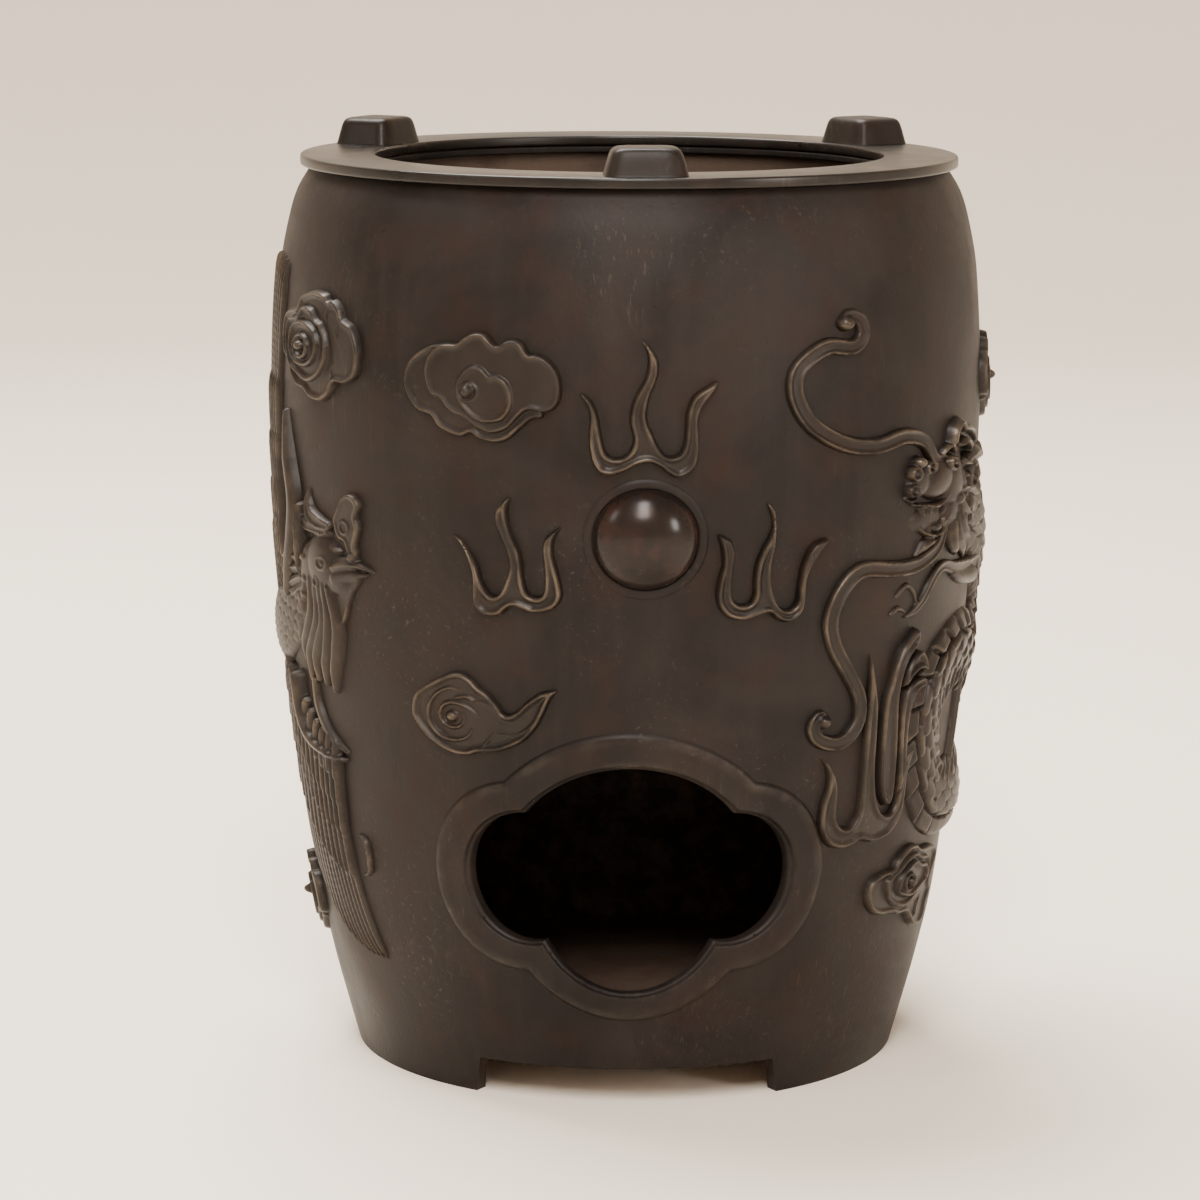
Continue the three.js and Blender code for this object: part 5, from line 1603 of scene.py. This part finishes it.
@dataclass
class Phoenix:
    """The phoenix: head and neck, body with the lower wing, upper wing, and tail.

    Its marks are drawn in bold heights, and the shares bring them down to low relief.
    """

    wall: Wall
    head_shift: Pair = (-1.2, 0)
    head_share: float = 0.64
    lower_share: float = 0.68
    upper_share: float = 0.66

    def head(self) -> list[Mark]:
        """Head with beak, eye, comb, crest, ear and wattle."""
        comb = (
            (-81, 146.4), (-81.8, 149.6), (-80, 152.6), (-78.2, 155.4), (-75.8, 157), (-73, 156.6),
            (-71, 154.2), (-72.2, 151.2), (-71.4, 148.6), (-72.2, 146), (-73, 143.6), (-72.6, 141.2),
            (-75, 140), (-76.6, 142), (-77.6, 144), (-79.8, 144.6),
        )
        wattle = (
            (-85.6, 130), (-85.8, 125.8), (-84.8, 122), (-81.6, 121.2), (-79, 124), (-77.4, 128),
            (-75, 131.4), (-72.6, 134.6), (-75, 137), (-82, 136),
        )
        back_plume = ((-85, 147.2), (-90, 147.8), (-94, 149.4), (-95.4, 152.4), (-94.8, 156))
        low_plume = ((-86, 145.6), (-92, 145.8), (-97, 146), (-100, 147.6), (-101, 151.6))
        upper_beak = ((-82, 137), (-78, 138.2), (-74, 138.6), (-70.6, 138.2), (-67.4, 137.2))
        lower_beak = ((-82, 134), (-78, 135.2), (-74, 136), (-70, 136.4))
        nape = ((-100.2, 150.6), (-100.6, 145), (-101, 139), (-101.6, 133))
        brows = (((-91, 143.6), (-87.6, 144.8), (-84.4, 145.2)),
                 ((-84.8, 143.4), (-82.4, 141.6), (-80, 141.2)))
        return [
            Plate(wattle, 2.0, 0.6, 0.8),
            Lump((-88.6, 136.6), (9.4, 9), 4.4), Lump((-95.4, 134.4), (7.4, 8.4), 3.8),
            Lump((-82.4, 133.6), (7.4, 5), 3.6, 8), Lump((-90, 129.6), (7, 6.4), 3.8),
            ringed((-86.4, 137.5), (3.1, 2.2), 5.4, 8), Lump((-86, 137.5), (1.1, 1.0), 5.3),
            Strand(upper_beak, (3.0, 2.2, 1.6, 1.0, 0.3), (4.8, 4.6, 4.0, 3, 1), Section.CREST),
            Strand(lower_beak, (3.0, 2.4, 1.6, 0.5), (4.0, 3.4, 2.8, 1.4)),
            Lump((-74.6, 140.4), (1.9, 1.4), 4.4), Plate(comb, 3.0, 0.7, 0.8),
            Strand(back_plume, (1.4, 2.2, 2.4, 1.8, 0.4), (4.4, 4.6, 4.2, 3.4, 1.4), Section.RIMMED),
            Strand(low_plume, (1.2, 1.8, 1.8, 1.3, 0.4), (4.2, 4.4, 4.2, 3.2, 1.4), Section.RIMMED),
            ringed((-77, 148), (2.4, 2.2), 3.4), *rims(0.6, 2.9, ((-78, 152.4), (-75, 154), (-72.6, 153))),
            *rims(0.7, 5.0, *brows), Strand(nape, (1.2, 1.5, 1.5, 1.1), (4.6, 5, 5, 4.4)),
            ringed((-90.1, 132.1), (1.7, 1.6), 4.9), Lump((-97.4, 137.4), (2.4, 1.5), 4.6, 15),
            Lump((-97.2, 131.8), (2.4, 1.5), 4.6, 5), Lump((-99, 127.6), (3, 1.5), 4.4, -10),
        ]

    def neck(self) -> list[Mark]:
        """Wavy locks that fall from the neck, over shorter ones that sweep back to the body."""
        falling = (
            ((-85, 131), (-82.6, 122), (-83.6, 115), (-85.4, 109), (-86.2, 103.6)),
            ((-87, 131.4), (-86.2, 123), (-88, 115), (-90, 110), (-90.6, 104.8)),
            ((-89, 131.8), (-88.8, 122), (-92, 116), (-95, 111), (-95.4, 105.2)),
            ((-91, 132), (-91.6, 123), (-95, 116.8), (-98.8, 111.6), (-99.8, 104.6)),
            ((-94, 132), (-95, 124), (-98.4, 118.4), (-101.8, 114), (-102.6, 109.6)),
            ((-97, 132), (-99.4, 125), (-103.4, 119.6), (-106.6, 114)),
        )
        swept = [((-98 - k, 127 + 2.4 * k), (-106 - 1.5 * k, 122 + 3.4 * k), (-116 - 2 * k, 116 + 4 * k))
                 for k in range(5)]
        return [
            *(Strand(line, (1.6, 2.0, 1.8, 0.5), (4.2, 4.4, 4.2, 2.4), Section.FEATHER) for line in swept),
            *(Strand(line, (1.9, 2.3, 2.4, 2.2, 1.0), (4.0, 3.8, 3.6, 3.2, 2.2), Section.ROUND, -0.7)
              for line in falling[::-1]),
        ]

    def body(self) -> list[Mark]:
        """Breast and back under small feathers."""
        back = ((-103, 125), (-113, 120.6), (-124, 116.6), (-136, 113), (-149, 112.6))
        return [Strand(back, (6, 8.6, 10.6, 11, 8), (4.0, 4.8, 5.6, 5.8, 5.2), Section.DOME,
                       pattern=scales(3.4, 0.8))]

    def lower_wing(self) -> list[Mark]:
        """Lower wing: small feathers, two rows of coverts and long flights, under a double rim."""
        wing = Fan(
            ((-88, 86), (-100, 90), (-113, 97), (-129, 104)),
            ((-76, 32.5), (-87, 33.2), (-101, 39.6), (-115.6, 53.6)),
            ((14, 0.4, 1.0, 1.9, 2.3), (11, 0.26, 0.6, 2.7, 3.4), (12, 0.14, 0.4, 3.2, 3.9),
             (12, 0.04, 0.26, 3.6, 4.3), (10, -0.04, 0.13, 4.0, 4.6)),
            -5.0,
        )
        inner = ((-85, 87.6), (-90, 89.6), (-95, 93), (-98.6, 98), (-99.6, 104.4))
        outer = ((-86, 85.4), (-93, 86), (-101, 87.4), (-107, 90.6), (-110.6, 96), (-112, 103))
        edges = [
            Strand(inner, (0.8, 1.4, 1.5, 1.5, 1.2), (2.6, 4.4, 5, 5, 5), Section.RIMMED),
            Strand(outer, (0.9, 1.7, 2.1, 2.3, 2.4, 2.4), (3, 4.8, 5.4, 5.6, 5.6, 5.6)),
        ]
        bracket = rims(0.8, 2.4, ((-83, 66), (-80, 64.6), (-78.8, 60.4), (-79.2, 56.4), (-82.4, 55)))
        return [*bracket, wing, *edges]

    def upper_wing(self) -> list[Mark]:
        """Upper wing, spread towards the barrel's shoulder."""
        wing = Fan(
            ((-115, 126), (-126, 123), (-140, 121)), ((-113, 212), (-127, 214), (-145, 208), (-163, 195)),
            ((14, 0.5, 1.0, 2.0, 2.5), (12, 0.36, 0.66, 2.9, 3.6), (12, 0.24, 0.5, 3.4, 4.2),
             (11, 0.12, 0.37, 3.9, 4.6), (10, 0.0, 0.25, 4.3, 5.0)),
            2.0,
        )
        edge = ((-113.4, 126), (-110.4, 134), (-106.4, 143), (-104.6, 152), (-107.4, 162), (-110, 174))
        return [wing, Strand(edge, (2.6, 3.0, 3.0, 2.8, 2.6, 1.0), (5, 5.2, 5.2, 5, 4.6, 2.6))]

    def tail(self) -> list[Mark]:
        """Three long plumes with a shaft, barbs and an eye near the tip."""
        plumes = (
            ((-144, 118), (-168, 128), (-190, 146), (-212, 150), (-230, 138)),
            ((-144, 113), (-172, 112), (-196, 122), (-220, 118), (-238, 102)),
            ((-142, 107), (-168, 96), (-190, 96), (-212, 88), (-226, 70)),
        )
        marks: list[Mark] = []
        for plume in plumes:
            marks.append(Strand(plume, (3.6, 4.2, 4.0, 5.2, 0.8), (4.4, 4.2, 3.8, 3.8, 1), Section.FEATHER,
                                pattern=barbs(2.0, 0.22)))
            eye = smooth_curve(plume, 101)[86]
            marks.append(ringed(tuple(eye), (4.0, 3.2), 4.3))
            marks.append(Lump(tuple(eye), (1.4, 1.3), 4.3))
        return marks

    def build(self) -> None:
        """Make the patches, each between two corners (u, z), the near ones on a finer grid."""
        head = moved([*self.neck(), *self.head()], end=self.head_shift, share=self.head_share)
        lower = moved([*self.body(), *self.lower_wing()], share=self.lower_share)
        upper = moved(self.upper_wing(), share=self.upper_share)
        for name, low, high, step, marks in (
            ("phoenix_head", (-134, 100), (-65, 160), 0.28, head),
            ("phoenix_lower_wing", (-152, 28), (-70, 132), 0.34, lower),
            ("phoenix_upper_wing", (-172, 116), (-100, 218), 0.34, upper),
            ("phoenix_tail", (-246, 62), (-136, 160), 0.5, self.tail()),
        ):
            ReliefField(self.wall, low, high, step).add(*marks).piece(name, "phoenix")


@dataclass
class Jewel:
    """The polished jewel and the low ring that it sits in."""

    wall: Wall
    centre: Pair = (4.5, 150.5)
    radius: float = 12.5
    height: float = 6.4
    fullness: float = 1.3
    spokes: int = 120
    dome_rings: int = 22
    setting: Points = (
        (12.6, -0.1), (12.7, -0.8), (15.6, -0.8), (15.4, -0.1), (15.0, 0.2), (14.5, 0.4), (13.9, 0.5),
        (13.3, 0.48), (12.85, 0.3),
    )

    def around(self, radius: float, lift: float) -> Array:
        """A ring of points at one radius and lift."""
        angle = np.linspace(0, 2 * math.pi, self.spokes, endpoint=False)
        u = self.centre[0] + radius * np.cos(angle)
        return self.wall.place(u, self.centre[1] + radius * np.sin(angle), lift)

    def build(self) -> None:
        """Make the dome as rings between two poles, and the setting as a swept section."""
        turn = np.linspace(0.1, math.pi / 2, self.dome_rings)
        rise = self.height - 0.3
        dome = [(self.radius * math.sin(t), 0.5 + rise * math.cos(t) ** self.fullness) for t in turn]
        skirt = [(self.radius, 0.2), (self.radius - 0.3, -0.6), (self.radius * 0.5, -1.0)]
        rings = np.array([self.around(r, lift) for r, lift in [*dome, *skirt][::-1]])
        back, tip = self.around(0.0, -1.0).mean(0), self.around(0.0, self.height + 0.2).mean(0)
        stone = make_piece("jewel_dome", *capped_stack(rings, back, tip), 60.0)
        settle(stone, "barrel", JEWEL_BRONZE, "jewel")
        points, quads = swept_loop(np.array([self.around(r, lift) for r, lift in self.setting]))
        ring = make_piece("jewel_ring", points, quads[:, ::-1], 60.0)
        settle(ring, "barrel", SETTING_BRONZE, "jewel_setting")


@dataclass
class Mouth:
    """What lies in the mouth: pot ring, hoop, rests and charcoal bowl, and the ash floor below.

    A rest's levels are pairs (share of its height, share of its draw from foot to top).
    """

    wall: Wall
    sides: int = 180
    ring_hole: float = 67.2
    rest_turn: float = 3.1
    rest_centre: float = 76.8
    rest_gap: float = 0.05
    rest_foot: Pair = (21.0, 17.0)
    rest_top: Pair = (15.5, 13.0)
    rest_height: float = 7.0
    rest_squareness: float = 0.36
    rest_sides: int = 96
    rest_levels: Points = (
        (0.0, -0.02), (0.012, 0.0), (0.1, 0.08), (0.3, 0.22), (0.5, 0.36), (0.68, 0.5), (0.8, 0.62),
        (0.88, 0.75), (0.94, 0.93), (0.98, 1.2), (1.0, 1.6), (1.0, 2.4), (1.0, 2.9),
    )
    bowl_hole: float = 34.0
    bowl_floor: Pair = (118.0, 121.0)
    bowl_outside: Points = ((71.6, 194), (67.5, 158), (59, 131), (49, 118))
    bowl_inside: Points = ((46, 121), (56.5, 133), (64.5, 159), (68.6, 194))
    bowl_neck: Pair = (73.0, 70.0)
    flange_radius: float = 79.7
    flange_thickness: float = 2.7
    flange_bevel: float = 0.4
    floor_hole: float = 0.01

    def disc(
        self, name: str, body: str, finish: BronzeFinish, box: tuple[Place, Place], hole: float,
        soft: float, node: str,
    ) -> None:
        """A flat ring or disc with soft edges that stands for a round solid.

        Args:
            name: The piece's name.
            body: The body it moves with.
            finish: Its finish.
            box: The solid's corners, which give the outer radius and both heights.
            hole: Radius of its hole.
            soft: Radius of its edges.
            node: The solid.
        """
        outer, low, high = box[1][0] / MM, box[0][2] / MM, box[1][2] / MM
        section = ((hole, low), (outer, low), (outer, high), (hole, high))
        points, quads = revolved(rounded(section, soft), self.sides)
        settle(make_piece(name, points, quads, 35.0), body, finish, node)

    def rest(self, side: str, turn: float, low: float) -> None:
        """One pot rest: a soft tapered block whose rings are rounded squares.

        Args:
            side: Its place in the node's name.
            turn: Its azimuth in degrees.
            low: Height of its underside.
        """
        rise, draw = np.array(self.rest_levels).T
        angle = np.linspace(0, 2 * math.pi, self.rest_sides, endpoint=False)
        ways = np.array([np.cos(angle), np.sin(angle)])
        x, y = np.sign(ways) * np.abs(ways) ** self.rest_squareness
        foot, top = np.array(self.rest_foot), np.array(self.rest_top)
        across, along = (foot - (foot - top) * draw[:, None]).T[..., None] / 2
        rings = np.stack(np.broadcast_arrays(across * x, along * y, self.rest_height * rise[:, None]), -1)
        cos, sin = math.cos(math.radians(turn)), math.sin(math.radians(turn))
        rotate = np.array([[cos, -sin, 0], [sin, cos, 0], [0, 0, 1]])
        offset = np.array([self.rest_centre * sin, -self.rest_centre * cos, low])
        placed = (rings @ rotate.T + offset) * MM
        tip = (offset + [0, 0, self.rest_height]) * MM
        block = make_piece(f"pot_rest_{side}_block", *capped_stack(placed, offset * MM, tip), 50.0)
        settle(block, "pot_ring", REST_BRONZE, f"pot_rest_{side}")

    def bowl(self) -> None:
        """The charcoal bowl, hung by its flange from the step in the mouth."""
        flange = self.wall.height
        under = flange - self.flange_thickness
        low, high = self.bowl_floor
        outside = smooth_curve(((self.bowl_neck[0], under), *self.bowl_outside), 28)
        inside = smooth_curve((*self.bowl_inside, (self.bowl_neck[1], flange)), 28)
        rim = (
            (self.flange_radius, under), (self.flange_radius, flange - self.flange_bevel),
            (self.flange_radius - self.flange_bevel, flange),
        )
        profile = np.vstack([
            [(self.bowl_hole, low)], outside[::-1], rim, inside[::-1], [(self.bowl_hole, high)],
        ])
        points, quads = revolved(profile, self.sides)
        settle(make_piece("charcoal_bowl", points, quads, 35.0), "fire_bowl", INSIDE_BRONZE, "fire_bowl")

    def build(self) -> None:
        """Make the pieces from the ring down to the floor."""
        ring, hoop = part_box("pot_ring"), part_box("ring_hoop")
        self.disc("pot_ring_plate", "pot_ring", RING_BRONZE, ring, self.ring_hole, 0.7, "pot_ring")
        self.disc("ring_hoop_band", "pot_ring", HOOP_BRONZE, hoop, self.ring_hole, 0.3, "ring_hoop")
        for i, side in enumerate(("front", "right", "left")):
            self.rest(side, self.rest_turn + 120.0 * i, ring[1][2] / MM + self.rest_gap)
        self.bowl()
        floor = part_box("floor_plate")
        self.disc("ash_floor", "barrel", FLOOR_BRONZE, floor, self.floor_hole, 0.4, "floor_plate")


@dataclass(frozen=True)
class Panel:
    """A soft light that faces the middle of the brazier: its place and size in metres, and its power."""

    name: str
    place: Place
    size: Pair
    watts: float
    tint: Colour = (1.0, 0.955, 0.9)


@dataclass
class Studio:
    """Plain pale floor and backdrop, soft lights, and the camera at the photograph's angle.

    The sweep and the panels are in metres. The camera's place is in millimetres, its turns are in
    degrees, and its focal length is in pixels of the frame.
    """

    camera_place: Place = (0.0, -1108.8, 318.5)
    pitch: float = 10.215
    yaw: float = -0.3725
    roll: float = 0.245
    focal_pixels: float = 4177.4
    frame_pixels: float = 1200.0
    sensor: float = 36.0
    clip: Pair = (0.05, 20.0)
    floor_radius: float = 1.6
    bend_radius: float = 1.2
    sweep_height: float = 3.2
    sweep_sides: int = 96
    paper: tuple[Colour, Colour] = ((0.8, 0.715, 0.61), (0.83, 0.745, 0.64))
    paper_scale: float = 3.0
    air_tint: Colour = (1.0, 0.955, 0.9)
    air_strength: float = 0.3
    middle: Place = (0.0, 0.0, 0.13)
    panels: tuple[Panel, ...] = (
        Panel("front_panel", (0.0, -1.1, 1.13), (0.36, 0.85), 33.0),
        Panel("back_panel", (-0.4, 0.6, 1.75), (1.3, 1.0), 104.0),
        Panel("left_panel", (-1.3, -0.8, 0.95), (0.36, 0.5), 5.0, (1.0, 0.95, 0.89)),
        Panel("right_panel", (1.3, -1.05, 0.52), (0.3, 0.44), 12.0),
    )

    def camera(self) -> None:
        """Place the camera: it looks along +Y, turned by its yaw, pitched down and rolled."""
        data = bpy.data.cameras.new("view")
        data.sensor_fit = "HORIZONTAL"
        data.sensor_width = self.sensor
        data.lens = self.sensor * self.focal_pixels / self.frame_pixels
        data.clip_start, data.clip_end = self.clip
        camera = bpy.data.objects.new("view", data)
        bpy.context.scene.collection.objects.link(camera)
        turn = (
            Matrix.Rotation(-math.radians(self.yaw), 4, "Z")
            @ Matrix.Rotation(math.radians(90.0 - self.pitch), 4, "X")
            @ Matrix.Rotation(math.radians(self.roll), 4, "Z")
        )
        camera.matrix_world = Matrix.Translation([c * MM for c in self.camera_place]) @ turn
        bpy.context.scene.camera = camera

    def paper_material(self) -> bpy.types.Material:
        """Matt paper in two close tones."""
        material = bpy.data.materials.new("paper")
        material.use_nodes = True
        board = ShaderBoard(material.node_tree)
        where = board.add("ShaderNodeTexCoord").outputs["Object"]
        first, second = ((*tone, 1) for tone in self.paper)
        colour = board.blend(board.noise(where, self.paper_scale), first, second)
        shader = material.node_tree.nodes["Principled BSDF"]
        material.node_tree.links.new(colour, shader.inputs["Base Color"])
        shader.inputs["Roughness"].default_value = 0.9
        shader.inputs["Specular IOR Level"].default_value = 0.1
        return material

    def backdrop(self) -> None:
        """A sweep that faces in: a flat round floor that rises all round in a wide quarter circle."""
        angle = np.linspace(0, math.pi / 2, 24)
        foot = self.floor_radius
        r = np.r_[0.02, foot + self.bend_radius * np.sin(angle), foot + self.bend_radius]
        z = np.r_[0.0, self.bend_radius * (1 - np.cos(angle)), self.sweep_height]
        turn = np.linspace(0, 2 * math.pi, self.sweep_sides, endpoint=False)
        rings = turned(turn, r[:, None], z[:, None])
        points = np.vstack([rings.reshape(-1, 3), [(0.0, 0.0, 0.0)]])
        quads = ring_quads(len(r), self.sweep_sides)[:, ::-1]
        first = np.arange(self.sweep_sides)
        middle = np.stack([np.full(self.sweep_sides, len(points) - 1), first, np.roll(first, -1)], 1)
        sweep = make_piece("backdrop", points, [quads, middle])
        sweep.data.materials.append(self.paper_material())

    def light(self, panel: Panel) -> None:
        """Hang a panel so that its back points away from the middle of the brazier."""
        data = bpy.data.lights.new(panel.name, "AREA")
        data.shape = "RECTANGLE"
        data.size, data.size_y = panel.size
        data.energy = panel.watts
        data.color = panel.tint
        lamp = bpy.data.objects.new(panel.name, data)
        bpy.context.scene.collection.objects.link(lamp)
        back = np.array(panel.place) - np.array(self.middle)
        back = back / np.linalg.norm(back)
        side = np.cross([0.0, 0.0, 1.0], back)
        side = side / np.linalg.norm(side)
        hung = np.eye(4)
        hung[:3] = np.stack([side, np.cross(back, side), back, panel.place], 1)
        lamp.matrix_world = Matrix(hung.tolist())

    def build(self) -> None:
        """Set up the whole studio."""
        world = bpy.data.worlds.new("studio_air")
        world.use_nodes = True
        air = world.node_tree.nodes["Background"].inputs
        air["Color"].default_value = (*self.air_tint, 1)
        air["Strength"].default_value = self.air_strength
        bpy.context.scene.world = world
        self.backdrop()
        for panel in self.panels:
            self.light(panel)
        self.camera()


def dress_plain_nodes(frame: dict) -> None:
    """Give the solids that stay as they are the finish of their slot.

    Args:
        frame: The loaded frame.
    """
    finishes = {finish.slot: finish for finish in (
        INSIDE_BRONZE, GRATE_IRON, RING_BRONZE, REST_BRONZE, JEWEL_BRONZE, RELIEF_BRONZE, WALL_BRONZE,
    )}
    slots = {part["node"]: part["material_slot"] for part in frame["record"]["subparts"]}
    for name, node in frame["nodes"].items():
        if node.hide_render:
            continue
        material = finishes[slots[name]].material()
        for slot in node.material_slots:
            slot.material = material


def main() -> None:
    """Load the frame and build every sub-assembly in order."""
    logging.basicConfig(level=logging.INFO, format="%(name)s: %(message)s")
    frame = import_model()
    wall = Wall.from_frame()
    port = PortFrame(wall)
    Studio().build()
    Barrel(wall, port).build()
    port.build()
    Mouth(wall).build()
    Jewel(wall).build()
    for node, outline in FLAME_OUTLINES.items():
        Flame(wall, node, outline).build()
    Clouds(wall).build()
    Dragon(wall).build()
    Phoenix(wall).build()
    dress_plain_nodes(frame)


if __name__ == "__main__":
    main()
